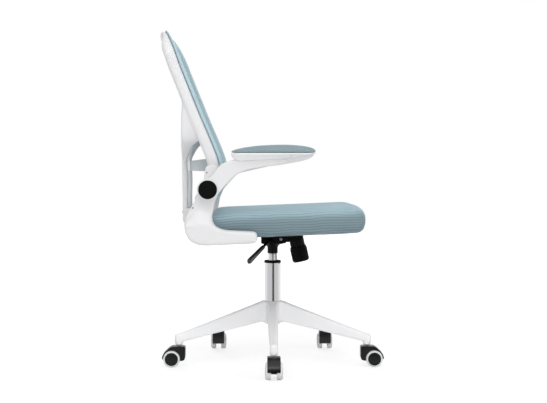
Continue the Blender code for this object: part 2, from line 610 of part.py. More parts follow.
def housing_piece(carrier):
    """Pressed housing: floor with the lift socket, side walls, rear roll and forked tongue."""
    full = SEAT_PITCH + TILT_RANGE
    roll = arc(-HOUSING_REAR, -HOUSING_FLOOR + ROLL_RADIUS, ROLL_RADIUS, 270, 110, 5)
    walls = [(x, plate_line(x, full) - 1.2) for x in (-HOUSING_REAR + 8, -18)]
    outline = roll + walls + [(-8, TILT_PIN_RADIUS + 4.5), (6, TILT_PIN_RADIUS + 5),
                              (HOUSING_FRONT - 5, plate_line(HOUSING_FRONT - 5, SEAT_PITCH) - GAP),
                              (HOUSING_FRONT, plate_line(HOUSING_FRONT, SEAT_PITCH) - GAP),
                              (HOUSING_FRONT, 3 - HOUSING_FLOOR), (1, -HOUSING_FLOOR)]
    shell = solid(slab(bmesh.new(), outline[::-1], -HOUSING_HALF_WIDTH, HOUSING_HALF_WIDTH, 0.8))
    column = -TILT_PIN_AHEAD
    bore = CYLINDER_RADIUS - 0.6 + GAP
    sleeve = CYLINDER_RADIUS + SOCKET_WALL
    low = -TILT_PIN_RISE
    socket = solid(turned(bmesh.new(), (
        (bore, low), (sleeve, low), (sleeve, low + SOCKET_LENGTH), (sleeve + 4.5, -HOUSING_FLOOR - 5),
        (sleeve + 14, -HOUSING_FLOOR + 0.8), (sleeve + 14, -HOUSING_FLOOR + 2.5),
        (bore, -HOUSING_FLOOR + 2.5)), centre=(column, 0, 0)))
    tongue = solid(block(bmesh.new(), (HOUSING_FRONT - 1.5, -TONGUE_HALF_WIDTH, -0.5),
                         (TONGUE_REACH, TONGUE_HALF_WIDTH, TONGUE_THICKNESS - 0.5)))
    inside = HOUSING_HALF_WIDTH - HOUSING_WALL
    tray = solid(block(bmesh.new(), (-HOUSING_REAR + 6.5, -inside, FLOOR_TOP),
                       (HOUSING_FRONT - HOUSING_WALL, inside, 60)))
    through = solid(turned(bmesh.new(), (
        (0, low - 4), (bore, low - 4), (bore, FLOOR_TOP + 4), (0, FLOOR_TOP + 4)), centre=(column, 0, 0)))
    slot = solid(block(bmesh.new(), (KNOB_AHEAD - 15, -FORK_HALF_GAP, -9),
                       (TONGUE_REACH + 9, FORK_HALF_GAP, 9)))
    pin = TILT_PIN_RADIUS + GAP
    pin_hole = solid(turned(bmesh.new(), ((0, -80), (pin, -80), (pin, 80), (0, 80)), 12, axis="Y"))
    lever = LEVER_RADIUS + 0.9
    lever_hole = solid(turned(bmesh.new(), ((0, -80), (lever, -80), (lever, -30), (0, -30)), 12,
                              (-LEVER_BEHIND, 0, -LEVER_BELOW), "Y"))
    combine(shell, "DIFFERENCE", tray)
    combine(shell, "UNION", socket, tongue)
    combine(shell, "DIFFERENCE", through, slot, pin_hole, lever_hole)
    settle("mechanism_housing", shell, "black", carrier)
    half, radius = FLANGE_HALF_WIDTH + 2, TILT_PIN_RADIUS
    settle("tilt_pin", solid(turned(bmesh.new(), (
        (0, -half), (radius - 0.6, -half), (radius, -half + 0.6), (radius, half - 0.6),
        (radius - 0.6, half), (0, half)), 12, axis="Y")), "steel", carrier)


def oblique_ring(bm, axis, low, radius, wall, ceiling):
    """Tube along a leaning axis from a square lower end up to a level plane."""
    across, side = Vector((axis.z, 0, -axis.x)), Vector((0, 1, 0))
    rings = []
    for size, level in ((radius, False), (radius, True), (radius - wall, True), (radius - wall, False)):
        ring = []
        for k in range(TURN_STEPS):
            a = 2 * math.pi * k / TURN_STEPS
            point = low + size * (math.cos(a) * across + math.sin(a) * side)
            if level:
                point = point + axis * ((ceiling - point.z) / axis.z)
            ring.append(point)
        rings.append(ring)
    return loft(bm, rings, closed=True)


def seat_plate_pieces(seat):
    """Seat plate with side flanges and the spring cup, and the spring, bolt and knob below it."""
    plate = solid(slab(bmesh.new(), [(-PLATE_REAR, PLATE_UNDER), (PLATE_FRONT, PLATE_UNDER),
                                     (PLATE_FRONT, PLATE_TOP), (-PLATE_REAR, PLATE_TOP)],
                       -PLATE_HALF_WIDTH, PLATE_HALF_WIDTH, 0.5))
    notch_rear, notch_front = -LEVER_BEHIND - 11, -LEVER_BEHIND + 9
    top = PLATE_UNDER + 1.2
    outline = [(-PLATE_REAR + 1, top), (-PLATE_REAR + 1, 3), (-PLATE_REAR + 3, -1.5), (-PLATE_REAR + 7, -4),
               (notch_rear - 4, -4), (notch_rear, PLATE_UNDER - 3.5), (notch_front, PLATE_UNDER - 3.5),
               (notch_front + 4, -FLANGE_DROP), (PLATE_FRONT - 12, -FLANGE_DROP),
               (PLATE_FRONT - 1, -FLANGE_DROP + 11), (PLATE_FRONT - 1, top)]
    inner = FLANGE_HALF_WIDTH - FLANGE_THICKNESS
    flanges = [solid(slab(bmesh.new(), outline, inner, FLANGE_HALF_WIDTH, 0.4, s)) for s in (-1, 1)]
    lean = math.radians(KNOB_LEAN)
    axis = Vector((-math.sin(lean), 0, math.cos(lean)))
    knob_top = Vector((KNOB_AHEAD, 0, -KNOB_BELOW))
    cup = solid(oblique_ring(bmesh.new(), axis, knob_top + axis * 0.6, CUP_RADIUS, CUP_WALL,
                             PLATE_UNDER + 1.3))
    combine(plate, "UNION", *flanges, cup)
    tongue_low = TONGUE_REACH * 0.5 * math.sin(math.radians(SEAT_PITCH + TILT_RANGE))
    mouth = solid(block(bmesh.new(), (HOUSING_FRONT - 2, -TONGUE_HALF_WIDTH - 1.5, -tongue_low - 6),
                        (KNOB_AHEAD - 8, TONGUE_HALF_WIDTH + 1.5, TONGUE_THICKNESS + 1.5)))
    pin = TILT_PIN_RADIUS + GAP
    pin_hole = solid(turned(bmesh.new(), ((0, -80), (pin, -80), (pin, 80), (0, 80)), 12, axis="Y"))
    combine(plate, "DIFFERENCE", mouth, pin_hole)
    settle("seat_plate", plate, "black", seat)

    knob = frame("knob_axis", knob_top, seat)
    knob.rotation_euler = (0, -lean, 0)
    ceiling = (PLATE_UNDER + KNOB_BELOW) / math.cos(lean)
    head = BOLT_RADIUS + 3
    bolt_top = ceiling - head * math.tan(lean) - GAP
    floor = -KNOB_LENGTH + 5
    settle("tension_bolt", solid(turned(bmesh.new(), (
        (0, floor - 2), (BOLT_RADIUS, floor - 2), (BOLT_RADIUS, bolt_top - 5), (head, bolt_top - 5),
        (head, bolt_top), (0, bolt_top)), 12)), "steel", knob)
    hole, rim, inside, end = BOLT_RADIUS + GAP, KNOB_RADIUS, KNOB_RADIUS - KNOB_WALL, -KNOB_LENGTH
    settle("tension_knob", solid(turned(bmesh.new(), (
        (0, end), (rim - 5, end), (rim - 1.2, end + 1.5), (rim - 0.2, end + 5), (rim, -4),
        (rim - 0.6, -0.8), (rim - 1.6, 0), (inside, 0), (inside, floor), (hole, floor),
        (hole, floor - 2 - GAP), (0, floor - 2 - GAP)), 28, lobes=0.7)), "black", knob)
    pitch = math.radians(SEAT_PITCH)
    tongue_under = KNOB_BELOW - 0.5 - KNOB_AHEAD * math.sin(pitch)
    reach = SPRING_RADIUS + SPRING_WIRE
    spring_top = tongue_under / math.cos(lean) - reach * math.tan(lean + pitch) - GAP - SPRING_WIRE
    spring_low = floor + SPRING_WIRE + GAP
    steps = SPRING_TURNS * 9
    path = [(SPRING_RADIUS * math.cos(math.radians(40 * i)), SPRING_RADIUS * math.sin(math.radians(40 * i)),
             blend(spring_low, spring_top, (i - 4) / (steps - 8))) for i in range(steps + 1)]
    settle("tension_spring", solid(tube(bmesh.new(), path, SPRING_WIRE * 0.98, 5)), "steel", knob)


def lever_pieces(carrier):
    """Bent height lever through the housing's right wall, with its bush and grip."""
    z = -LEVER_BELOW
    wall = HOUSING_HALF_WIDTH - HOUSING_WALL / 2
    inward = Vector((LEVER_BEHIND - TILT_PIN_AHEAD, wall, 0)).normalized()
    at_wall = Vector((-LEVER_BEHIND, -wall, z))
    tip = Vector((-LEVER_BACK_REACH, -LEVER_SIDE_REACH, -LEVER_TIP_DROP))
    corner = at_wall - inward * ((LEVER_BEND - wall) / inward.y)
    out = (tip - corner).normalized()
    length = (tip - corner).length
    grip_from = corner + out * 0.3 * length
    path = [at_wall + inward * ((wall + LEVER_PAST_AXIS) / inward.y), corner + inward * 3.5, corner,
            corner + out * 3.5, grip_from + out * 28]
    settle("lever_rod", solid(tube(bmesh.new(), path, LEVER_RADIUS, 12)), "black", carrier)
    side = out.cross(Vector((0, 0, 1))).normalized()
    up = side.cross(out)
    stations = ((0, 9.5, 9.5), (8, 10, 10), (0.4 * length, GRIP_WIDTH - 1.5, GRIP_THICKNESS),
                (0.7 * length - 3, GRIP_WIDTH, GRIP_THICKNESS),
                (0.7 * length, GRIP_WIDTH - 3, GRIP_THICKNESS - 3))
    sections = []
    for along, width, thick in stations:
        ring = rounded_box_outline(thick / 2, width / 2, min(thick, width) * 0.32, 2)
        sections.append([grip_from + out * along + side * a + up * b for a, b in ring])
    grip = solid(loft(bmesh.new(), sections))
    core = solid(tube(bmesh.new(), [grip_from - out * 5, grip_from + out * (28 + GAP)],
                      LEVER_RADIUS + GAP, 12))
    settle("lever_grip", combine(grip, "DIFFERENCE", core), "black", carrier)
    bush_from = at_wall + inward * 2.8
    bush = solid(tube(bmesh.new(), [bush_from, bush_from + inward * 6.5], LEVER_BUSH_RADIUS, 16))
    bore = solid(tube(bmesh.new(), [bush_from - inward * 3, bush_from + inward * 10],
                      LEVER_RADIUS + GAP, 12))
    settle("lever_bush", combine(bush, "DIFFERENCE", bore), "black", carrier)


# Seat

def seat_outline(distance, steps=5):
    """Plan of the seat, moved in by a distance."""
    half = (SEAT_FRONT + SEAT_REAR) / 2 - distance
    middle = (SEAT_FRONT - SEAT_REAR) / 2
    corner = max(SEAT_CORNER - distance, 12.0)
    ring = rounded_box_outline(half, SEAT_HALF_WIDTH - distance, corner, steps)
    return [(x + middle, y) for x, y in ring]


def fan(bm, ring, height, middle):
    """Close a ring with triangles to a middle point."""
    tip = bm.verts.new((middle, 0, height))
    for i in range(len(ring)):
        bm.faces.new((ring[i], ring[(i + 1) % len(ring)], tip))


def shell_rings(bm, levels):
    """Rings of (outline, height) joined in turn; returns the first and last ring."""
    rings = [[bm.verts.new((x, y, z)) for x, y in outline] for outline, z in levels]
    for a, b in zip(rings, rings[1:]):
        for i in range(len(a)):
            j = (i + 1) % len(a)
            bm.faces.new((a[i], a[j], b[j], b[i]))
    return rings[0], rings[-1]


def seat_pieces(seat):
    """Moulded pan on the seat plate, and the crowned cushion that fits over it."""
    middle = (SEAT_FRONT - SEAT_REAR) / 2
    pan = bmesh.new()
    edge = seat_outline(PAN_INSET)
    loft(pan, [[(x, y, z) for x, y in row] for row, z in (
        (seat_outline(PAN_INSET + 3), PAN_BOTTOM), (edge, PAN_BOTTOM + 3),
        (edge, PAN_BOTTOM + PAN_THICKNESS))])
    settle("seat_pan", solid(pan), "black", seat)
    cushion = bmesh.new()
    recess = PAN_BOTTOM + PAN_THICKNESS + GAP
    low, tall = CUSHION_BOTTOM, CUSHION_THICKNESS
    pull = CUSHION_SIDE_PULL
    levels = [(seat_outline(120), recess), (seat_outline(PAN_INSET - GAP), recess),
              (seat_outline(PAN_INSET - GAP), low), (seat_outline(16), low),
              (seat_outline(6.5), low + 0.12 * tall), (seat_outline(1.5), low + 0.3 * tall),
              (seat_outline(0), low + 0.52 * tall), (seat_outline(pull), low + 0.8 * tall),
              (seat_outline(2.5 * pull), low + 0.9 * tall), (seat_outline(6 * pull), low + 0.97 * tall - 1),
              (seat_outline(75), CUSHION_TOP - 0.4 * CUSHION_CROWN), (seat_outline(150), CUSHION_TOP)]
    first, last = shell_rings(cushion, levels)
    fan(cushion, first, recess, middle)
    fan(cushion, last, CUSHION_TOP, middle)
    settle("seat_cushion", solid(cushion), "fabric", seat)


# Side brackets and arms

def bracket_pieces(seat, name, side):
    """Side bracket: foot beside the seat with a flange below the pan, heel, and neck to the hinge."""
    outline = list(FOOT_OUTLINE + NECK_OUTLINE + HEEL_OUTLINE)
    rows = ((NECK_IN, 2.5), (NECK_IN + 2.5, 0), (NECK_OUT - 0.6, 0), (NECK_OUT, 0.6))
    neck = solid(loft(bmesh.new(), [[(x, side * y, z) for x, z in inset(outline, d)] for y, d in rows]))
    far = NECK_IN + HEEL_THICKNESS
    rows = []
    for y, d, share in ((NECK_OUT - 5, 0.8, 0), (NECK_OUT + 2, 0.8, 0.2), (far - 9, 0.8, 0.7),
                        (far - 2.5, 4, 0.95), (far, 9, 1)):
        top = [(x, z - HEEL_SLOPE * share * part) for x, z, part in HEEL_TOP]
        rows.append((y, d, list(FOOT_OUTLINE) + top + list(HEEL_OUTLINE)))
    heel = solid(loft(bmesh.new(), [[(x, side * y, z) for x, z in inset(line, d)] for y, d, line in rows]))
    flange = solid(block(bmesh.new(), (-165, min(side * FLANGE_REACH, side * (NECK_IN + 8)), 7.5),
                         (-80, max(side * FLANGE_REACH, side * (NECK_IN + 8)), PAN_BOTTOM - GAP)))
    hole = HINGE_PIN_RADIUS + GAP
    near, out = side * (NECK_IN - 9), side * (ARM_OUT + 9)
    bore = solid(turned(bmesh.new(), ((0, near), (hole, near), (hole, out), (0, out)), 16,
                        (-HINGE_BEHIND, 0, HINGE_RISE), "Y"))
    combine(neck, "UNION", heel, flange)
    combine(neck, "DIFFERENCE", bore)
    settle(f"side_bracket_{name}", neck, "white", seat)


def seam_height(x):
    """Height of the arm's top edge, where the tray sits, at a place along the arm."""
    points = sorted(ARM_SEAM)
    if x <= points[0][0]:
        return points[0][1]
    for (a, za), (b, zb) in zip(points, points[1:]):
        if x <= b:
            return blend(za, zb, (x - a) / (b - a))
    return points[-1][1]


def pad_half_width(x, half):
    """Half width of the pad's plan, with a round rear end and a rounder nose."""
    rear, nose = 34.0, 52.0
    if x < PAD_REAR + rear:
        return half * math.sqrt(max(0.03, 1 - ((PAD_REAR + rear - x) / rear) ** 2 * 0.97))
    if x > PAD_FRONT - nose:
        return half * math.sqrt(max(0.03, 1 - ((x - PAD_FRONT + nose) / nose) ** 2 * 0.97))
    return half


def pad_crown(x):
    """Share of the pad's thickness at a place along it: low at the rear, fullest ahead of its middle."""
    points = ((PAD_REAR, 0.22), (PAD_REAR + 30, 0.55), (PAD_REAR + 75, 0.85), (PAD_REAR + 143, 1.0),
              (PAD_FRONT - 45, 0.9), (PAD_FRONT - 12, 0.62), (PAD_FRONT, 0.3))
    return smooth_curve(points, x)


def arm_pieces(seat, name, side):
    """Arm with its hub on the hinge pin, tray, pad and cap, in a frame on the hinge axis."""
    carrier = frame(f"arm_hinge_{name}", (-HINGE_BEHIND, 0, HINGE_RISE), seat, pitch=-SEAT_PITCH)
    outline = (arc(0, 0, ARM_HUB_RADIUS, 105, 325, 12) + list(ARM_LOWER) + list(ARM_SEAM) + list(ARM_UPPER))
    arm = solid(slab(bmesh.new(), outline, ARM_IN, ARM_OUT, ARM_EDGE, side))
    hole = HINGE_PIN_RADIUS + GAP
    near, end = side * (ARM_IN - 9), side * (ARM_OUT - 4)
    bore = solid(turned(bmesh.new(), ((0, near), (hole, near), (hole, end), (0, end)), 16, axis="Y"))
    settle(f"arm_{name}", combine(arm, "DIFFERENCE", bore), "white", carrier)
    low, high = side * (NECK_IN + 1), side * (ARM_OUT - 4 - GAP)
    pin = HINGE_PIN_RADIUS
    settle(f"hinge_pin_{name}", solid(turned(bmesh.new(), (
        (0, low), (pin, low), (pin, high), (0, high)), 16, axis="Y")), "steel", carrier)
    face, out = ARM_OUT + GAP, ARM_OUT + GAP + CAP_THICKNESS
    settle(f"hinge_cap_{name}", solid(turned(bmesh.new(), (
        (0, side * face), (CAP_RADIUS, side * face), (CAP_RADIUS, side * (out - 1.5)),
        (CAP_RADIUS - 1.5, side * out), (0, side * out)), axis="Y")), "black", carrier)

    half = PAD_WIDTH / 2 - TRAY_INSET
    foot = ARM_WIDTH / 2 - ARM_EDGE - 0.5
    middle = PAD_MIDDLE - (ARM_IN + ARM_OUT) / 2
    seam = sorted(x for x, z in ARM_SEAM)
    seam = sorted(seam + [(a + b) / 2 for a, b in zip(seam[2:], seam[3:])])
    stations = [(PAD_REAR + TRAY_INSET, PAD_SEAT - 8), (PAD_REAR + 8, seam_height(seam[0]) + 5)]
    stations += [(x, seam_height(x) + GAP) for x in seam] + [(PAD_FRONT - TRAY_INSET, PAD_SEAT - 2.6)]
    sections = []
    for x, under in stations:
        wide = pad_half_width(x, half)
        narrow = min(foot, wide * 0.8)
        flat = min(4.0, (PAD_SEAT - under) * 0.45)
        centre = side * PAD_MIDDLE
        keel = centre - side * middle if x > PAD_REAR + 10 else centre
        sections.append([(x, y, z) for y, z in (
            (centre - wide, PAD_SEAT), (centre - wide, PAD_SEAT - flat),
            (keel - narrow, under), (keel + narrow, under),
            (centre + wide, PAD_SEAT - flat), (centre + wide, PAD_SEAT))])
    settle(f"arm_tray_{name}", solid(loft(bmesh.new(), sections)), "white", carrier)

    pad = bmesh.new()
    base = PAD_SEAT + GAP
    count = 15
    half = PAD_WIDTH / 2
    sections = []
    for i in range(count):
        x = PAD_REAR + (PAD_FRONT - PAD_REAR) * (0.5 - 0.5 * math.cos(math.pi * i / (count - 1)))
        wide, thick = pad_half_width(x, half), PAD_THICKNESS * pad_crown(x)
        ring = [(-0.94, 0.0), (-1.0, 0.25), (-0.94, 0.56), (-0.72, 0.83), (-0.36, 0.96), (0, 1.0),
                (0.36, 0.96), (0.72, 0.83), (0.94, 0.56), (1.0, 0.25), (0.94, 0.0), (0, 0)]
        sections.append([(x, side * PAD_MIDDLE + wide * a, base + thick * b) for a, b in ring])
    settle(f"arm_pad_{name}", solid(loft(pad, sections)), "fabric", carrier)


# Back

def back_point(y, z, depth):
    """Point behind the mesh's front face by a depth, square to that face."""
    def face(v, w):
        return smooth_curve(BACK_PROFILE, w) - BACK_WRAP * (1 - (v / BACK_HALF_WIDTH) ** 2)
    step = 1.0
    lean = (face(y, z + step) - face(y, z - step)) / (2 * step)
    wrap = (face(y + step, z) - face(y - step, z)) / (2 * step)
    normal = Vector((1, -wrap, -lean)).normalized()
    return Vector((face(y, z), y, z)) - normal * depth


def back_side(distance):
    """Right half of the back's outline seen from the front, moved in by a distance, bottom to top."""
    half, low, high = BACK_HALF_WIDTH - distance, BACK_BOTTOM + distance, BACK_TOP - distance
    top, bottom = max(BACK_TOP_CORNER - distance, 8), max(BACK_BOTTOM_CORNER - distance, 8)
    return (arc(half - bottom, low + bottom, bottom, 270, 360, 4)
            + [(half, blend(low + bottom, high - top, i / 10)) for i in range(1, 10)]
            + arc(half - top, high - top, top, 0, 90, 5))


def back_loop(distance):
    """Whole outline of the back as (y, z) points, with three points in each of its end rails."""
    right = back_side(distance)
    (low_y, low_z), (top_y, top_z) = right[0], right[-1]
    return (right + [(top_y * f, top_z) for f in (0.5, 0, -0.5)] + [(-y, z) for y, z in right[::-1]]
            + [(low_y * f, low_z) for f in (-0.5, 0, 0.5)])


def rim_depth(z, full, at_top):
    """Depth of a rim that thins towards the top rail."""
    return blend(full, at_top, (z - BACK_TOP + BACK_TOP_CORNER + 20) / (BACK_TOP_CORNER + 5))


def membrane(bm, ring, distance, depth):
    """Fill a ring of the back's outline with rows of faces that follow its curve."""
    right = back_side(distance)
    count = len(right)
    rows = [[ring[0], ring[-1], ring[-2], ring[-3], ring[2 * count + 2]]]
    for i in range(1, count - 1):
        y, z = right[i]
        inner = [bm.verts.new(back_point(y * f, z, depth)) for f in (0.5, 0, -0.5)]
        rows.append([ring[i], *inner, ring[2 * count + 2 - i]])
    rows.append([ring[count - 1], *ring[count:count + 3], ring[count + 3]])
    for a, b in zip(rows, rows[1:]):
        for i in range(4):
            bm.faces.new((a[i], a[i + 1], b[i + 1], b[i]))


def mesh_piece(seat):
    """Mesh panel with its padded rim, as one thin curved body."""
    bm = bmesh.new()
    edge = back_loop(0)
    rear = [rim_depth(z, RIM_THICKNESS, RIM_TOP_THICKNESS) for y, z in edge]

    def ring(distance, depths):
        return [bm.verts.new(back_point(y, z, d)) for (y, z), d in zip(back_loop(distance), depths)]
    flat = [1.0] * len(edge)
    net = RIM_WIDTH + 3
    rows = [ring(net, [MESH_THICKNESS + 1] * len(edge)), ring(RIM_WIDTH, rear), ring(0, rear),
            ring(0, [d * 0.3 for d in rear]), ring(5, [0.0] * len(edge)), ring(RIM_WIDTH, flat)]
    for a, b in zip(rows, rows[1:]):
        for i in range(len(a)):
            j = (i + 1) % len(a)
            bm.faces.new((a[i], a[j], b[j], b[i]))
    membrane(bm, rows[0], net, MESH_THICKNESS + 1)
    membrane(bm, rows[-1], RIM_WIDTH, 1.0)
    settle("back_mesh", solid(bm), "fabric", seat)


def strut_section(stations, i, side):
    """Section of a rear strut, square to its run as seen from behind."""
    z, y, rear, depth = stations[i]
    before, after = stations[max(i - 1, 0)], stations[min(i + 1, len(stations) - 1)]
    run = Vector((after[1] - before[1], after[0] - before[0])).normalized()
    across = Vector((run.y, -run.x)) * STRUT_WIDTH / 2
    ease = 4.0
    corners = []
    for u, x in ((-1, rear + ease), (-0.7, rear), (0.7, rear), (1, rear + ease),
                 (1, rear + depth - ease), (0.7, rear + depth), (-0.7, rear + depth),
                 (-1, rear + depth - ease)):
        corners.append((x, side * (y + across.x * u), z + across.y * u))
    return corners


def back_frame_piece(seat):
    """Back frame: rim ring, two rear struts that fork up into it, crossbar and side ears."""
    ring = bmesh.new()
    rows = []
    loops = [back_loop(d) for d in (0, 4, RIM_WIDTH - 3, RIM_WIDTH)]
    for outer, eased, shoulder, inner in zip(*loops):
        near = rim_depth(outer[1], RIM_THICKNESS, RIM_TOP_THICKNESS) + GAP
        far = near + rim_depth(outer[1], FRAME_DEPTH, FRAME_TOP_DEPTH)
        rows.append([back_point(*outer, near), back_point(*outer, far - 5), back_point(*eased, far),
                     back_point(*shoulder, far), back_point(*inner, far - 5), back_point(*inner, near)])
    body = solid(loft(ring, rows, closed=True))
    spine = -SPINE_BEHIND
    deep = STRUT_DEPTH
    foot = LUMBAR_HOLD - 10
    stations = [(CROSSBAR_BOTTOM + 2, foot, spine, deep), (CROSSBAR_BOTTOM + 67, foot + 3, spine + 2, deep),
                (LUMBAR_Z - 36, LUMBAR_HOLD - 3, spine + 4, STRUT_FRONT - 4),
                (LUMBAR_Z + 18, LUMBAR_HOLD + 1, spine + 6, STRUT_FRONT - 6)]
    stations += [(z, BACK_HALF_WIDTH - y, spine + lead, deep + more) for z, y, lead, more in STRUT_FORK]
    struts = []
    for s in (-1, 1):
        sections = [strut_section(stations, i, s) for i in range(len(stations))]
        struts.append(solid(loft(bmesh.new(), sections)))
    bar = bmesh.new()
    end = NECK_IN - GAP
    rows = []
    for share in (-1, -0.86, -0.7, -0.48, -0.2, 0.2, 0.48, 0.7, 0.86, 1):
        y = share * end
        sweep = max(0.0, (abs(share) - 0.44) / 0.56)
        sweep = sweep * sweep * (3 - 2 * sweep)
        x = spine + 1.2 + CROSSBAR_SWEEP * sweep
        low, tall = CROSSBAR_BOTTOM + CROSSBAR_TAPER * sweep, CROSSBAR_HEIGHT - CROSSBAR_TAPER * sweep
        thick = deep - 1
        rows.append([(x + 4, y, low), (x + thick - 4, y, low), (x + thick, y, low + 4),
                     (x + thick, y, low + tall - 4), (x + thick - 4, y, low + tall),
                     (x + 4, y, low + tall), (x, y, low + tall - 4), (x, y, low + 4)])
    crossbar = solid(loft(bar, rows))
    ears = [solid(slab(bmesh.new(), list(EAR_OUTLINE), BACK_HALF_WIDTH - RIM_WIDTH + 6, end, 1.5, s))
            for s in (-1, 1)]
    combine(body, "UNION", *struts, crossbar, *ears)
    settle("back_frame", body, "white", seat)


def lumbar_piece(seat):
    """Bowed lumbar bar between the struts, touching the mesh from behind."""
    rows = []
    end = LUMBAR_HOLD + STRUT_WIDTH / 2 - 6
    start = -SPINE_BEHIND + STRUT_FRONT + GAP
    crest = back_point(0, LUMBAR_Z, MESH_THICKNESS + 1 + GAP).x - LUMBAR_THICKNESS - 4.5
    for i in range(13):
        share = -1 + i / 6
        bow = 1 - share * share
        bow = bow * bow * (3 - 2 * bow)
        x = blend(start, crest, bow)
        tall = LUMBAR_HEIGHT / 2 + 6 * bow
        thick = LUMBAR_THICKNESS
        rows.append([(x + a, share * end, LUMBAR_Z + b) for a, b in (
            (1.5, -tall), (thick - 1.5, -tall), (thick, -tall + 2), (thick, tall - 2),
            (thick - 1.5, tall), (1.5, tall), (0, tall - 2), (0, -tall + 2))])
    settle("lumbar_bar", solid(loft(bmesh.new(), rows)), "white", seat)


base = frame("base")
base_piece(base)
caster_pieces(base)
column = frame("swivel_axis", parent=base)
lift_pieces(column)
mechanism = frame("mechanism", (TILT_PIN_AHEAD, 0, TILT_PIN_Z), column)
housing_piece(mechanism)
lever_pieces(mechanism)
seat_carrier = frame("tilt_axis", (TILT_PIN_AHEAD, 0, TILT_PIN_Z), column, pitch=SEAT_PITCH)
seat_plate_pieces(seat_carrier)
seat_pieces(seat_carrier)
for side_name, side_sign in (("right", -1), ("left", 1)):
    bracket_pieces(seat_carrier, side_name, side_sign)
    arm_pieces(seat_carrier, side_name, side_sign)
mesh_piece(seat_carrier)
back_frame_piece(seat_carrier)
lumbar_piece(seat_carrier)
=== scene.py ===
"""Looks of a mesh-backed office chair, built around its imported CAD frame.

Sub-assemblies are drawn in millimetres in a frame of their own (the seat's, an arm's or a
caster's) and laid into the part's frame in metres, where each piece rides on a CAD body.
"""

import json
import logging
import math
from dataclasses import dataclass
from enum import Enum
from typing import Callable, Sequence

import bmesh
import bpy
import numpy as np
from mathutils import Matrix, Vector


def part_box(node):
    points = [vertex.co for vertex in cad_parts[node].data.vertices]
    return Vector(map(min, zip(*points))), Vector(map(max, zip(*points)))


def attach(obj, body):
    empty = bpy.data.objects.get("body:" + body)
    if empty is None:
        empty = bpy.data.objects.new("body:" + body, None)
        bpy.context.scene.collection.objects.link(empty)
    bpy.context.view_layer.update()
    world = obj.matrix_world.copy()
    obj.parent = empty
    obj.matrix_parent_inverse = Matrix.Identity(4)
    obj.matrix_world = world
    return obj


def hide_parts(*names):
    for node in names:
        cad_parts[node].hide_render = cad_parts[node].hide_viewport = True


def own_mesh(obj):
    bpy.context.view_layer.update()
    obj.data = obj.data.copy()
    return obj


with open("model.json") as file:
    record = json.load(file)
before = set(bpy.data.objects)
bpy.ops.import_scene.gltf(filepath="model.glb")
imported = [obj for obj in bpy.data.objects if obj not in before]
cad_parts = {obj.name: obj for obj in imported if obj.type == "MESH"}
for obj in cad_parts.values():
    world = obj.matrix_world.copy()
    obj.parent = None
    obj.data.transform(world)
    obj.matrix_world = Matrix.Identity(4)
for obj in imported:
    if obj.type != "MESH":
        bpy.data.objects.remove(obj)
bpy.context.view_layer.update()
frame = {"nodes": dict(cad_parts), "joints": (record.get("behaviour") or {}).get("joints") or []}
LOG = logging.getLogger("office_chair")
MM = 0.001
# Degrees above which an edge stays sharp: on stepped pieces and on round ones
CREASE, SOFT_CREASE = 45.0, 50.0
Point = tuple[float, float]
JOINTS = {joint["name"]: joint for joint in frame["joints"]}


class Side(Enum):
    """Which of the sitter's sides a paired piece is on, with its sign along Y."""

    RIGHT = -1
    LEFT = 1

    @property
    def word(self) -> str:
        """Side as it stands in node names."""
        return self.name.lower()

    @property
    def arm_body(self) -> str:
        """CAD body of the flip-up arm on this side."""
        return {Side.RIGHT: "arm_r", Side.LEFT: "arm_l"}[self]


class CasterPlace(Enum):
    """Where a caster stands, with the heading in degrees that it trails along at rest."""

    RIGHT = ("right", -90.0)
    FRONT = ("front", 0.0)
    FRONT_LEFT = ("front_left", 90.0)
    REAR_LEFT = ("rear_left", 90.0)
    REAR = ("rear", 180.0)


class Weave(Enum):
    """Which way a cover's ribs run on its top."""

    LENGTHWISE = "along X"
    CROSSWISE = "along Y"


# Frames that pieces are drawn in

ALONG_Y = Matrix.Rotation(-math.pi / 2, 4, "X")


def scaled_frame(origin: Vector, turn: Matrix | None = None) -> Matrix:
    """Frame in millimetres at a place in the part.

    Args:
        origin: Frame's origin in the part, in metres.
        turn: Rotation of the frame, if it has one.

    Returns:
        Matrix from the frame's millimetres to the part's metres.
    """
    return Matrix.Translation(origin) @ (turn or Matrix.Identity(4)) @ Matrix.Scale(MM, 4)


def sideways(at: Sequence[float], side: int) -> Matrix:
    """Frame at a point whose Z axis runs out along Y, to one side.

    Args:
        at: Its origin.
        side: Sign of the side.

    Returns:
        The frame's matrix.
    """
    flip = Matrix.Rotation(math.pi, 4, "X") if side < 0 else Matrix.Identity(4)
    return Matrix.Translation(at) @ ALONG_Y @ flip


SEAT_PITCH = math.radians(2.3)
TILT_PIN = Vector(JOINTS["seat_tilt"]["pos_m"])
SEAT_FRAME = scaled_frame(TILT_PIN, Matrix.Rotation(-SEAT_PITCH, 4, "Y"))
LIFT_FRAME = Matrix.Scale(MM, 4)
MECHANISM_FRAME = scaled_frame(TILT_PIN)


# Materials

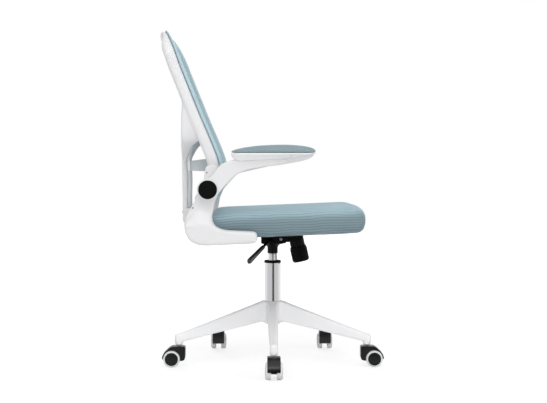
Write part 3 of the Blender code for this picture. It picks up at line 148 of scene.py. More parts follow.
class NodeDraft:
    """Node tree under way: adds nodes and sets or joins their inputs."""

    prefix = ""

    def __init__(self, tree: bpy.types.NodeTree) -> None:
        """Start on a tree."""
        self.tree = tree

    def node(self, type_name: str, inputs: dict | None = None, **settings: object) -> bpy.types.Node:
        """Add a node.

        Args:
            type_name: Full name of its type.
            inputs: Values or source sockets by input name or number.
            settings: Other properties of the node.

        Returns:
            The new node.
        """
        node = self.tree.nodes.new(type_name)
        for key, value in settings.items():
            setattr(node, key, value)
        self.feed(node, inputs or {})
        return node

    def add(self, kind: str, inputs: dict | None = None, **settings: object) -> bpy.types.Node:
        """Add a node of this tree's own family, named without the family's prefix."""
        return self.node(self.prefix + kind, inputs, **settings)

    def feed(self, node: bpy.types.Node, inputs: dict) -> None:
        """Set a node's inputs.

        Args:
            node: Node of this tree.
            inputs: Values or source sockets by input name or number.
        """
        for key, value in inputs.items():
            if isinstance(value, bpy.types.NodeSocket):
                self.tree.links.new(value, node.inputs[key])
            else:
                node.inputs[key].default_value = value

    def math(self, operation: str, a: object, b: object = 0.0) -> bpy.types.NodeSocket:
        """Result of a math node on sockets or numbers."""
        return self.node("ShaderNodeMath", {0: a, 1: b}, operation=operation).outputs[0]


class NodeSketch(NodeDraft):
    """Tree of a material or world, with its main shader."""

    prefix = "ShaderNode"

    def __init__(self, holder: bpy.types.Material | bpy.types.World, main: str = "Principled BSDF") -> None:
        """Start from a material or world that holds one main shader.

        Args:
            holder: The material or world.
            main: Name of its shader node.
        """
        holder.use_nodes = True
        super().__init__(holder.node_tree)
        self.shader = self.tree.nodes[main]

    def place(self) -> bpy.types.NodeSocket:
        """Object coordinates."""
        return self.add("TexCoord").outputs["Object"]

    def cloth_place(self) -> bpy.types.NodeSocket:
        """The cloth's own map, in metres along and across its ribs."""
        return self.add("UVMap", uv_map="weave").outputs["UV"]

    def noise(self, vector: bpy.types.NodeSocket, scale: float, detail: float = 3.0) -> bpy.types.NodeSocket:
        """Value of a noise texture."""
        return self.add("TexNoise", {"Vector": vector, "Scale": scale, "Detail": detail}).outputs[0]

    def span(self, value: bpy.types.NodeSocket, low: float, high: float, start: float = 0.0,
             end: float = 1.0) -> bpy.types.NodeSocket:
        """Value between two numbers spread between two others, with soft ends."""
        return self.add("MapRange", {"Value": value, "From Min": start, "From Max": end, "To Min": low,
                                     "To Max": high}, interpolation_type="SMOOTHSTEP").outputs[0]

    def tint(self, factor: object, low: object, high: object, blend: str = "MIX") -> bpy.types.NodeSocket:
        """Blend two colours.

        Args:
            factor: Number or socket of the blend.
            low: Colour or socket at 0.
            high: Colour or socket at 1.
            blend: Blend mode.

        Returns:
            The blended colour's socket.
        """
        ends = [c if isinstance(c, bpy.types.NodeSocket) else (*c, 1) for c in (low, high)]
        return self.add("Mix", {0: factor, 6: ends[0], 7: ends[1]}, data_type="RGBA",
                        blend_type=blend).outputs[2]

    def bump(self, height: bpy.types.NodeSocket, strength: float, depth: float) -> bpy.types.NodeSocket:
        """Normal from a height, with its depth in metres."""
        return self.add("Bump", {"Height": height, "Strength": strength, "Distance": depth}).outputs[0]


def shade(colour: Sequence[float], by: float) -> tuple[float, ...]:
    """Colour made lighter or darker by a factor."""
    return tuple(min(1.0, c * by) for c in colour)


@dataclass(frozen=True)
class Finish:
    """Surface finish with its name, the record's material slot and its base colour."""

    name: str
    slot: str
    colour: tuple[float, float, float]

    def material(self) -> bpy.types.Material:
        """Find the finish's material, drawn the first time that it's asked for.

        Returns:
            The one material of this name.
        """
        found = bpy.data.materials.get(self.name)
        if found is None:
            found = bpy.data.materials.new(self.name)
            self.draw(NodeSketch(found))
        return found

    def draw(self, sketch: NodeSketch) -> None:
        """Lay out the finish's nodes."""
        raise NotImplementedError


@dataclass(frozen=True)
class MouldedPlastic(Finish):
    """Plastic with a fine moulded grain and faint flow marks."""

    roughness: float = 0.42
    gloss: float = 0.5
    grain: float = 0.06
    grain_scale: float = 1300.0

    def draw(self, sketch: NodeSketch) -> None:
        """Grain in the normal, flow marks in colour and roughness.

        Args:
            sketch: Material under way.
        """
        place = sketch.place()
        flow = sketch.noise(place, 14.0, 2.0)
        speck = sketch.noise(place, 420.0, 2.0)
        mixed = sketch.math("ADD", sketch.math("MULTIPLY", flow, 0.7), sketch.math("MULTIPLY", speck, 0.3))
        grain = sketch.noise(place, self.grain_scale, 2.0)
        sketch.feed(sketch.shader, {
            "Base Color": sketch.tint(mixed, shade(self.colour, 0.97), shade(self.colour, 1.03)),
            "Roughness": sketch.span(mixed, self.roughness - 0.08, self.roughness + 0.08),
            "Normal": sketch.bump(grain, self.grain, 0.0004),
            "Specular IOR Level": self.gloss, "IOR": 1.49})


@dataclass(frozen=True)
class PaintedSteel(Finish):
    """Powder-coated pressed steel with a light orange-peel skin."""

    roughness: float = 0.45
    gloss: float = 0.25

    def draw(self, sketch: NodeSketch) -> None:
        """Rounded bumps of the coat and a slow change of gloss.

        Args:
            sketch: Material under way.
        """
        place = sketch.place()
        peel = sketch.add("TexVoronoi", {"Vector": place, "Scale": 620.0}, feature="SMOOTH_F1").outputs[0]
        slow = sketch.noise(place, 30.0)
        sketch.feed(sketch.shader, {
            "Base Color": sketch.tint(slow, shade(self.colour, 0.85), shade(self.colour, 1.2)),
            "Roughness": sketch.span(slow, self.roughness - 0.06, self.roughness + 0.1),
            "Normal": sketch.bump(peel, 0.12, 0.0005),
            "Specular IOR Level": self.gloss})


@dataclass(frozen=True)
class BareMetal(Finish):
    """Plated or turned metal with fine marks round its axis."""

    roughness: float = 0.14
    marks: float = 0.03

    def draw(self, sketch: NodeSketch) -> None:
        """Marks stretched across the piece's height, and smudges in the gloss.

        Args:
            sketch: Material under way.
        """
        place = sketch.place()
        stretched = sketch.add("Mapping", {"Vector": place, "Scale": (30.0, 30.0, 2600.0)}).outputs[0]
        lines = sketch.noise(stretched, 1.0, 2.0)
        smudge = sketch.noise(place, 22.0, 3.0)
        rough = sketch.math("ADD", sketch.span(lines, 0.0, 0.06), sketch.span(smudge, 0.0, 0.08))
        sketch.feed(sketch.shader, {
            "Base Color": sketch.tint(smudge, shade(self.colour, 0.96), shade(self.colour, 1.04)),
            "Roughness": sketch.math("ADD", rough, self.roughness - 0.07),
            "Normal": sketch.bump(lines, self.marks, 0.0002),
            "Metallic": 1.0})


@dataclass(frozen=True)
class RibbedFabric(Finish):
    """Knitted upholstery mesh: loops in rows between ribs, with painted shade in the groove beside each rib.
    """

    pitch: float = 0.0075
    thread: float = 0.0028
    # How strong the painted shade in the grooves is
    groove: float = 0.55
    sheen: float = 0.5
    relief: float = 0.5
    # Share of painted light on faces that look up
    nap: float = 0.0

    def weave(self, sketch: NodeSketch) -> tuple[bpy.types.NodeSocket, ...]:
        """Draw the knit.

        Args:
            sketch: Material under way.

        Returns:
            Height of the yarns, the grooves between ribs and the holes between loops, each from 0 to 1.
        """
        cloth = sketch.cloth_place()
        parts = sketch.add("SeparateXYZ", {0: cloth})
        sway = sketch.span(sketch.noise(cloth, 10.0, 2.0), -0.0036, 0.0036, 0.2, 0.8)
        across = sketch.math("MULTIPLY", sketch.math("ADD", parts.outputs[1], sway), 2 * math.pi / self.pitch)
        rib = sketch.math("COSINE", across)
        row = sketch.math("COSINE", sketch.math("MULTIPLY", across, 3.0))
        loop = sketch.math("SINE", sketch.math("MULTIPLY", parts.outputs[0], 2 * math.pi / self.thread))
        knit = sketch.math("MULTIPLY", row, loop)
        high = sketch.math("ADD", sketch.math("MULTIPLY", rib, 0.5), sketch.math("MULTIPLY", knit, 0.5))
        return (sketch.span(high, 0.0, 1.0, -1.0, 1.0), sketch.span(rib, 0.0, 1.0, -0.55, -1.0),
                sketch.span(knit, 0.0, 1.0, -0.3, -0.8))

    def draw(self, sketch: NodeSketch) -> None:
        """Relief and colour of the yarns over a heathered ground, with painted shade in the grooves and holes
        and painted light where the cloth faces up.

        Args:
            sketch: Material under way.
        """
        height, groove, hole = self.weave(sketch)
        place = sketch.place()
        heather = sketch.noise(place, 900.0, 2.0)
        slow = sketch.noise(place, 9.0, 2.0)
        yarn = sketch.tint(heather, shade(self.colour, 0.88), shade(self.colour, 1.12))
        # Painted shade along the grooves beside the ribs.
        painted_shade = sketch.tint(sketch.math("MULTIPLY", groove, self.groove), yarn, shade(self.colour, 0.42))
        # Painted shade in the holes between loops.
        holes_shaded = sketch.tint(sketch.math("MULTIPLY", hole, 0.30), painted_shade, shade(self.colour, 0.45))
        worn = sketch.tint(sketch.span(slow, 0.0, 0.14), holes_shaded, shade(self.colour, 1.22))
        # Painted light: faces that look up are made up to twice as light, by the share set on the finish, as
        # if the top were lit more.
        upward = sketch.add("SeparateXYZ", {0: sketch.add("TexCoord").outputs["Normal"]}).outputs[2]
        raised = sketch.tint(sketch.span(upward, 0.0, self.nap, 0.06, 1.0), worn, (2.0, 2.0, 2.0), "MULTIPLY")
        sketch.feed(sketch.shader, {
            "Base Color": raised, "Roughness": sketch.span(height, 0.92, 0.78),
            "Normal": sketch.bump(height, self.relief, 0.0007), "Sheen Weight": self.sheen,
            "Sheen Roughness": 0.3, "Sheen Tint": (0.80, 0.94, 1.0, 1), "Specular IOR Level": 0.2})


@dataclass(frozen=True)
class OpenMesh(RibbedFabric):
    """The same fabric stretched over an opening, so that light comes through its holes."""

    openness: float = 0.55

    def draw(self, sketch: NodeSketch) -> None:
        """Fabric whose holes are see-through.

        Args:
            sketch: Material under way.
        """
        super().draw(sketch)
        hole = self.weave(sketch)[2]
        through = sketch.math("MULTIPLY", hole, self.openness)
        sketch.feed(sketch.shader, {"Alpha": sketch.math("SUBTRACT", 1.0, through)})


WHITE = MouldedPlastic("white_moulding", "white_plastic", (0.77, 0.77, 0.78), roughness=0.40)
# The same white plastic painted lighter, to make up for shade under the seat, under the arm trays and behind
# the net: painted light.
WHITE_PAINTED_LIGHTER = MouldedPlastic("bright_white", "white_plastic", (0.92, 0.92, 0.93), roughness=0.40)
BLACK = MouldedPlastic("black_moulding", "black_plastic", (0.0038, 0.0038, 0.0042), roughness=0.44,
                       gloss=0.09, grain=0.12)
HOOD_BLACK = MouldedPlastic("hood_black", "black_plastic", (0.0045, 0.0045, 0.005), roughness=0.30,
                            gloss=0.36, grain=0.05)
GRIP_BLACK = MouldedPlastic("lever_black", "black_plastic", (0.035, 0.035, 0.037), roughness=0.32, gloss=0.5)
TREAD = MouldedPlastic("grey_tread", "tyre", (0.76, 0.765, 0.77), roughness=0.42, grain=0.1,
                       grain_scale=800.0)
PRESSED = PaintedSteel("black_steel_coat", "black_steel", (0.0035, 0.0035, 0.0038), gloss=0.12)
CHROME = BareMetal("bright_chrome", "chrome", (0.80, 0.80, 0.815), roughness=0.16)
STEEL = BareMetal("turned_steel", "steel", (0.58, 0.58, 0.60), roughness=0.34, marks=0.08)
# The seat's cloth carries painted light on its top.
FABRIC = RibbedFabric("seat_fabric", "fabric", (0.208, 0.286, 0.318), groove=0.62, nap=0.85, sheen=0.6)
PAD_FABRIC = RibbedFabric("pad_fabric", "fabric", (0.28, 0.363, 0.395), pitch=0.0036, thread=0.0026,
                          groove=0.4)
RIM_FABRIC = RibbedFabric("rim_fabric", "fabric", (0.49, 0.645, 0.705), pitch=0.0036, groove=0.25, relief=0.3)
NET = OpenMesh("back_net_fabric", "fabric", (0.43, 0.575, 0.625), pitch=0.0066, thread=0.0033, groove=0.3,
               openness=0.8)


# Mesh helpers

def soften(points: Sequence[Point], reach: float, steps: int = 5, closed: bool = True) -> list[Point]:
    """Round the corners of a plane line.

    Args:
        points: Corners.
        reach: How far from a corner its curve starts, at most 0.48 of the side.
        steps: Points along each corner's curve.
        closed: Whether the line is an outline.

    Returns:
        The rounded line's points.
    """
    made: list[Point] = []
    count = len(points)
    for i, corner in enumerate(points):
        if not closed and i in (0, count - 1):
            made.append(tuple(corner))
            continue
        here, before, after = Vector(corner), Vector(points[i - 1]), Vector(points[(i + 1) % count])
        back, ahead = before - here, after - here
        start = here + back.normalized() * min(reach, back.length * 0.48)
        end = here + ahead.normalized() * min(reach, ahead.length * 0.48)
        for k in range(steps + 1):
            t = k / steps
            p = start * (1 - t) ** 2 + here * 2 * t * (1 - t) + end * t * t
            made.append((p.x, p.y))
    return made


def inset(outline: Sequence[Point], distance: float) -> list[Point]:
    """Move a closed outline in by a distance, with mitred corners.

    Args:
        outline: Its corners, either way round.
        distance: How far each side moves in.

    Returns:
        The moved corners.
    """
    count = len(outline)
    area = sum(outline[i][0] * outline[(i + 1) % count][1] - outline[(i + 1) % count][0] * outline[i][1]
               for i in range(count))
    sign = 1.0 if area > 0 else -1.0
    moved: list[Point] = []
    for i in range(count):
        here = Vector(outline[i])
        back = (here - Vector(outline[i - 1])).normalized()
        ahead = (Vector(outline[(i + 1) % count]) - here).normalized()
        a, b = (Vector((-d.y, d.x)) * sign for d in (back, ahead))
        p = here + (a + b) * (distance / max(0.5, 1 + a.dot(b)))
        moved.append((p.x, p.y))
    return moved


def arc(cx: float, cz: float, radius: float, start: float, end: float, steps: int) -> list[Point]:
    """Points along a circle between two angles in degrees."""
    angles = np.radians(np.linspace(start, end, steps + 1))
    return [(cx + radius * math.cos(a), cz + radius * math.sin(a)) for a in angles]


def flowing(stations: Sequence[Sequence[float]], per: int) -> list[list[float]]:
    """Smooth run of values through rows of numbers, by cubic pieces.

    Args:
        stations: Rows of equal length.
        per: Rows made for each piece.

    Returns:
        The finer rows, ends included.
    """
    rows = np.array(stations, float)
    padded = np.vstack([2 * rows[0] - rows[1], rows, 2 * rows[-1] - rows[-2]])
    made = []
    for i in range(1, len(padded) - 2):
        a, b, c, d = padded[i - 1:i + 3]
        for t in np.arange(per) / per:
            made.append(0.5 * (2 * b + (c - a) * t + (2 * a - 5 * b + 4 * c - d) * t ** 2
                               + (3 * b - a - 3 * c + d) * t ** 3))
    return [list(row) for row in made + [rows[-1]]]


def smooth_curve(points: Sequence[Point], at: float) -> float:
    """Read a curve through points, drawn by cubic pieces with averaged slopes.

    Args:
        points: (place, value) points in order.
        at: Place to read at.

    Returns:
        The curve's value there.
    """
    slopes = []
    for i in range(len(points)):
        low, high = points[max(i - 1, 0)], points[min(i + 1, len(points) - 1)]
        slopes.append((high[1] - low[1]) / (high[0] - low[0]))
    i = 0
    while i < len(points) - 2 and at > points[i + 1][0]:
        i += 1
    (a, va), (b, vb) = points[i], points[i + 1]
    span = b - a
    t = (at - a) / span
    return (va * (1 + 2 * t) * (1 - t) ** 2 + slopes[i] * span * t * (1 - t) ** 2
            + vb * t * t * (3 - 2 * t) + slopes[i + 1] * span * t * t * (t - 1))


def mix(a: float, b: float, t: float) -> float:
    """Straight mix of two numbers, with t held between 0 and 1."""
    return a + (b - a) * min(1.0, max(0.0, t))


def eased(t: float) -> float:
    """Share held between 0 and 1, with soft ends."""
    t = min(1.0, max(0.0, t))
    return t * t * (3 - 2 * t)


def loft(bm: bmesh.types.BMesh, sections: Sequence[Sequence[Sequence[float]]],
         closed: bool = False) -> bmesh.types.BMesh:
    """Skin through sections of equal point counts, with end faces on an open run.

    Args:
        bm: Mesh to add to.
        sections: Rings of points.
        closed: Whether the last section joins the first.

    Returns:
        The same mesh.
    """
    rings = [[bm.verts.new(p) for p in section] for section in sections]
    for a, b in list(zip(rings, rings[1:])) + ([(rings[-1], rings[0])] if closed else []):
        for i in range(len(a)):
            j = (i + 1) % len(a)
            bm.faces.new((a[i], a[j], b[j], b[i]))
    if not closed:
        bm.faces.new(rings[0])
        bm.faces.new(rings[-1])
    return bm


def slab(bm: bmesh.types.BMesh, outline: Sequence[Point], low: float, high: float, edge: float,
         side: int) -> bmesh.types.BMesh:
    """Give a side-view outline a width along Y, with round edges.

    Args:
        bm: Mesh to add to.
        outline: (x, z) points.
        low: Distance of the near face from the mid-plane.
        high: Distance of the far face.
        edge: Radius of the edges.
        side: Sign of the side along Y.

    Returns:
        The same mesh.
    """
    steps = 4
    angles = [math.pi / 2 * k / steps for k in range(steps + 1)]
    near = [(low + edge * (1 - math.cos(a)), edge * (1 - math.sin(a))) for a in angles]
    far = [(low + high - y, d) for y, d in near[::-1]]
    return loft(bm, [[(x, side * y, z) for x, z in inset(outline, d)] for y, d in near + far])


def revolve(bm: bmesh.types.BMesh, profile: Sequence[Point], steps: int = 64,
            matrix: Matrix | None = None) -> bmesh.types.BMesh:
    """Turn (radius, height) points about the Z axis; radius 0 closes on it, else the profile is a ring.

    Args:
        bm: Mesh to add to.
        profile: Points of the section.
        steps: Facets round the axis.
        matrix: Where the turned piece goes.

    Returns:
        The same mesh.
    """
    matrix = matrix or Matrix.Identity(4)
    rings = []
    for radius, height in profile:
        count = 1 if radius < 1e-9 else steps
        rings.append([bm.verts.new(matrix @ Vector((radius * math.cos(2 * math.pi * k / steps),
                                                    radius * math.sin(2 * math.pi * k / steps), height)))
                      for k in range(count)])
    pairs = list(zip(rings, rings[1:])) + ([] if len(rings[0]) == 1 else [(rings[-1], rings[0])])
    for a, b in pairs:
        for k in range(steps):
            m = (k + 1) % steps
            corners = ([a[k], a[m]] if len(a) > 1 else a) + ([b[m], b[k]] if len(b) > 1 else b)
            bm.faces.new(corners)
    return bm


def sweep(bm: bmesh.types.BMesh, path: Sequence[Vector], section: Callable[[int], Sequence[Point]],
          up: Vector) -> bmesh.types.BMesh:
    """Carry a section along a path.

    Args:
        bm: Mesh to add to.
        path: Points of the path.
        section: Section's (across, up) points for each number along the path.
        up: Direction that the section's second number follows.

    Returns:
        The same mesh.
    """
    rings = []
    for i, point in enumerate(path):
        along = (path[min(i + 1, len(path) - 1)] - path[max(i - 1, 0)]).normalized()
        across = along.cross(up).normalized()
        above = across.cross(along)
        rings.append([point + across * a + above * b for a, b in section(i)])
    return loft(bm, rings)


def plain_mesh(piece: bpy.types.Object) -> bpy.types.Mesh:
    """Mesh of an object with its modifiers worked in."""
    graph = bpy.context.evaluated_depsgraph_get()
    return bpy.data.meshes.new_from_object(piece.evaluated_get(graph), depsgraph=graph)


def bake_down(piece: bpy.types.Object) -> bpy.types.Object:
    """Replace an object's mesh by the result of its modifiers.

    Args:
        piece: Object to work on.

    Returns:
        The same object, without modifiers.
    """
    mesh = plain_mesh(piece)
    piece.modifiers.clear()
    piece.data = mesh
    return piece


def placed(name: str, data: bpy.types.ID) -> bpy.types.Object:
    """Link an object into the scene.

    Args:
        name: Its name.
        data: Its mesh, light or camera.

    Returns:
        The object.
    """
    piece = bpy.data.objects.new(name, data)
    bpy.context.scene.collection.objects.link(piece)
    return piece


def drafted(bm: bmesh.types.BMesh, name: str, matrix: Matrix) -> bpy.types.Object:
    """Make an object from a mesh drawn in a frame, laid into the part with faces outward.

    Args:
        bm: Mesh, which is used up.
        name: Object's name.
        matrix: Frame that it is drawn in.

    Returns:
        The object.
    """
    bmesh.ops.remove_doubles(bm, verts=bm.verts, dist=1e-4)
    bm.transform(matrix)
    bmesh.ops.recalc_face_normals(bm, faces=bm.faces)
    mesh = bpy.data.meshes.new(name)
    bm.to_mesh(mesh)
    bm.free()
    return placed(name, mesh)


def smooth_faces(piece: bpy.types.Object, angle: float) -> None:
    """Shade smooth, with sharp edges above an angle in degrees."""
    piece.data.shade_smooth()
    piece.data.set_sharp_from_angle(angle=math.radians(angle))


def fuse(piece: bpy.types.Object, voxel: float, passes: int) -> bpy.types.Object:
    """Melt overlapping solids of one object into one skin with eased joins.

    Args:
        piece: Object with closed, overlapping solids.
        voxel: Grid size in metres.
        passes: Smoothing passes.

    Returns:
        The same object with its new mesh.
    """
    skin = piece.modifiers.new("skin", "REMESH")
    skin.mode, skin.voxel_size, skin.adaptivity = "VOXEL", voxel, 0.0
    ease = piece.modifiers.new("ease", "SMOOTH")
    ease.factor, ease.iterations = 0.5, passes
    bake_down(piece)
    piece.data.shade_smooth()
    return piece


def carve(piece: bpy.types.Object, cutter: bpy.types.Object) -> bpy.types.Object:
    """Cut a draft's solids out of a piece and drop the draft.

    Args:
        piece: Closed piece.
        cutter: Draft to cut with.

    Returns:
        The same piece.
    """
    cut = piece.modifiers.new("cut", "BOOLEAN")
    cut.object, cut.operation, cut.solver = cutter, "DIFFERENCE", "MANIFOLD"
    bake_down(piece)
    bpy.data.objects.remove(cutter, do_unlink=True)
    smooth_faces(piece, 40.0)
    return piece


def polished(node: str, name: str, bevel: float = 0.0008, segments: int = 2) -> bpy.types.Object:
    """Copy of a CAD node with its facets joined and its edges eased.

    Args:
        node: CAD node to copy.
        name: Name of the new piece.
        bevel: Width of the eased edges in metres.
        segments: Facets across an eased edge.

    Returns:
        The new piece.
    """
    bm = bmesh.new()
    bm.from_mesh(frame["nodes"][node].data)
    bmesh.ops.remove_doubles(bm, verts=bm.verts, dist=2e-6)
    bmesh.ops.dissolve_limit(bm, angle_limit=math.radians(0.8), verts=bm.verts, edges=bm.edges)
    mesh = bpy.data.meshes.new(name)
    bm.to_mesh(mesh)
    bm.free()
    piece = placed(name, mesh)
    ease = piece.modifiers.new("ease", "BEVEL")
    ease.width, ease.segments, ease.limit_method = bevel, segments, "ANGLE"
    ease.angle_limit, ease.use_clamp_overlap = math.radians(34), True
    bake_down(piece)
    smooth_faces(piece, 36.0)
    return piece


def weave_map(piece: bpy.types.Object, matrix: Matrix, ribs: Weave = Weave.LENGTHWISE) -> None:
    """Lay the cloth's map on a piece, in metres along and across its ribs, carried on over the edges.

    Args:
        piece: Covered piece.
        matrix: Frame that the cover's top is level in.
        ribs: Which way the ribs run on top.
    """
    mesh = piece.data
    layer = mesh.uv_layers.get("weave") or mesh.uv_layers.new(name="weave")
    back = matrix.inverted()
    points = np.array([back @ v.co for v in mesh.vertices]) * MM
    corners = np.empty(len(mesh.loops), np.int32)
    mesh.loops.foreach_get("vertex_index", corners)
    totals = np.empty(len(mesh.polygons), np.int32)
    mesh.polygons.foreach_get("loop_total", totals)
    turn = back.to_3x3().normalized()
    normals = np.abs(np.array([turn @ p.normal for p in mesh.polygons]))
    nx, ny, nz = np.repeat(normals, totals, axis=0).T
    x, y, z = points[corners].T
    flat = nz > 0.7071
    ahead = ~flat & (nx >= ny)
    brow = (nz > 0.6) & (nz < 0.8)

    def edge(reach: np.ndarray, chosen: np.ndarray) -> float:
        """Reach plus height where the cover turns down over an edge."""
        return float(np.median((reach + z)[chosen])) if chosen.any() else float(z.max())
    side_edge, end_edge = edge(np.abs(y), brow & (ny > nx)), edge(np.abs(x), brow & (nx >= ny))
    along = np.where(ahead, np.sign(x) * (end_edge - z), x)
    across = np.where(flat | ahead, np.abs(y), side_edge - z)
    pair = (along, across) if ribs is Weave.LENGTHWISE else (across, along)
    layer.data.foreach_set("uv", np.stack(pair, 1).astype(np.float32).ravel())


def puff(piece: bpy.types.Object, voxel: float, rest_below: float, up: Vector, pressure: float = 4.0,
         cap: float = 0.0022, frames: int = 20) -> bpy.types.Object:
    """Swell a closed cloth form with a short simulation, held where it rests.

    Args:
        piece: Closed form in place, a little small.
        voxel: Size of the cloth's cells in metres.
        rest_below: Height along up, below which points are held.
        up: Direction away from what the form rests on.
        pressure: Pressure inside.
        cap: Farthest that a point may move, in metres.
        frames: Length of the simulation.

    Returns:
        The same object with the swollen mesh.
    """
    skin = piece.modifiers.new("skin", "REMESH")
    skin.mode, skin.voxel_size = "VOXEL", voxel
    ease = piece.modifiers.new("ease", "SMOOTH")
    ease.factor, ease.iterations = 0.5, 4
    bake_down(piece)
    mesh = piece.data
    start = np.array([v.co for v in mesh.vertices])
    heights = start @ np.array(up)
    held = piece.vertex_groups.new(name="held")
    held.add([int(i) for i in np.nonzero(heights < rest_below)[0]], 1.0, "REPLACE")
    cloth = piece.modifiers.new("swell", "CLOTH")
    cloth.settings.use_pressure = True
    cloth.settings.uniform_pressure_force = pressure
    cloth.settings.effector_weights.gravity = 0.0
    cloth.settings.vertex_group_mass = "held"
    cloth.settings.quality = 4
    cloth.point_cache.frame_start, cloth.point_cache.frame_end = 1, frames
    for number in range(1, frames + 1):
        bpy.context.scene.frame_set(number)
    swollen = plain_mesh(piece)
    end = np.array([v.co for v in swollen.vertices])
    bpy.data.meshes.remove(swollen)
    piece.modifiers.clear()
    piece.vertex_groups.clear()
    bpy.context.scene.frame_set(1)
    move = end - start
    length = np.linalg.norm(move, axis=1, keepdims=True)
    move *= np.minimum(1.0, cap / np.maximum(length, 1e-9))
    mesh.vertices.foreach_set("co", (start + move).astype(np.float32).ravel())
    fine = piece.modifiers.new("fine", "SUBSURF")
    fine.levels = fine.render_levels = 1
    bake_down(piece)
    piece.data.shade_smooth()
    return piece


def settle(piece: bpy.types.Object, finish: Finish, body: str, *stands_for: str) -> bpy.types.Object:
    """Give a finished piece its material, body and CAD nodes, and report it.

    Args:
        piece: Piece in place.
        finish: Its surface.
        body: CAD body that it rides on.
        stands_for: CAD nodes that it replaces.

    Returns:
        The same piece.
    """
    piece.data.materials.clear()
    piece.data.materials.append(finish.material())
    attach(piece, body)
    if stands_for:
        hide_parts(*stands_for)
    LOG.info("%s: %d faces, rides on %s", piece.name, len(piece.data.polygons), body)
    return piece


def finished(bm: bmesh.types.BMesh, name: str, matrix: Matrix, angle: float, finish: Finish, body: str,
             *stands_for: str) -> bpy.types.Object:
    """Draft a mesh, shade it smooth and settle it.

    Args:
        bm: Mesh, which is used up.
        name: Piece's name.
        matrix: Frame that it is drawn in.
        angle: Degrees above which an edge stays sharp.
        finish: Its surface.
        body: CAD body that it rides on.
        stands_for: CAD nodes that it replaces.

    Returns:
        The piece.
    """
    piece = drafted(bm, name, matrix)
    smooth_faces(piece, angle)
    return settle(piece, finish, body, *stands_for)


def turned_piece(name: str, profile: Sequence[Point], matrix: Matrix, finish: Finish, body: str,
                 *stands_for: str, round_off: float = 0.6, steps: int = 64) -> bpy.types.Object:
    """Make and settle a turned piece.

    Args:
        name: Piece's name.
        profile: (radius, height) points in millimetres.
        matrix: Frame with its axis along Z.
        finish: Its surface.
        body: CAD body that it rides on.
        stands_for: CAD nodes that it replaces.
        round_off: Reach of its rounded corners in millimetres.
        steps: Facets round it.

    Returns:
        The piece.
    """
    line = soften(profile, round_off, 3, closed=profile[0][0] > 0)
    return finished(revolve(bmesh.new(), line, steps), name, matrix, SOFT_CREASE, finish, body, *stands_for)


# Repeated pieces, by geometry nodes

class RepeatTree(NodeDraft):
    """Geometry-node tree with named inputs that a modifier sets."""

    prefix = "GeometryNode"

    def __init__(self, name: str) -> None:
        """Start a tree with a geometry input and output.

        Args:
            name: Tree's name.
        """
        super().__init__(bpy.data.node_groups.new(name, "GeometryNodeTree"))
        self.sockets: dict[str, str] = {}
        for way in ("INPUT", "OUTPUT"):
            self.tree.interface.new_socket("Geometry", in_out=way, socket_type="NodeSocketGeometry")
        self.source = self.node("NodeGroupInput")
        self.sink = self.node("NodeGroupOutput")

    def size(self, label: str, value: float, whole: bool = False) -> bpy.types.NodeSocket:
        """Add a named number.

        Args:
            label: Input's name.
            value: Its default.
            whole: Whether it counts things.

        Returns:
            The socket to use in the tree.
        """
        kind = "NodeSocketInt" if whole else "NodeSocketFloat"
        made = self.tree.interface.new_socket(label, in_out="INPUT", socket_type=kind)
        made.default_value = int(value) if whole else value
        self.sockets[label] = made.identifier
        return self.source.outputs[label]

    def close(self, geometry: bpy.types.NodeSocket, material: bpy.types.Material | None = None) -> None:
        """End the tree in real geometry.

        Args:
            geometry: Instances to make real.
            material: Their material, unless their parts already have their own.
        """
        end = self.add("RealizeInstances", {0: geometry})
        if material is not None:
            end = self.add("SetMaterial", {0: end.outputs[0], "Material": material})
        self.tree.links.new(end.outputs[0], self.sink.inputs[0])

    def run(self, piece: bpy.types.Object, values: dict[str, float]) -> bpy.types.Object:
        """Work the tree on an object and keep the result as its plain mesh.

        Args:
            piece: Object whose mesh the tree starts from.
            values: Numbers by input name.

        Returns:
            The same object.
        """
        modifier = piece.modifiers.new("repeat", "NODES")
        modifier.node_group = self.tree
        for label, value in values.items():
            modifier[self.sockets[label]] = value
        piece.update_tag()
        return bake_down(piece)


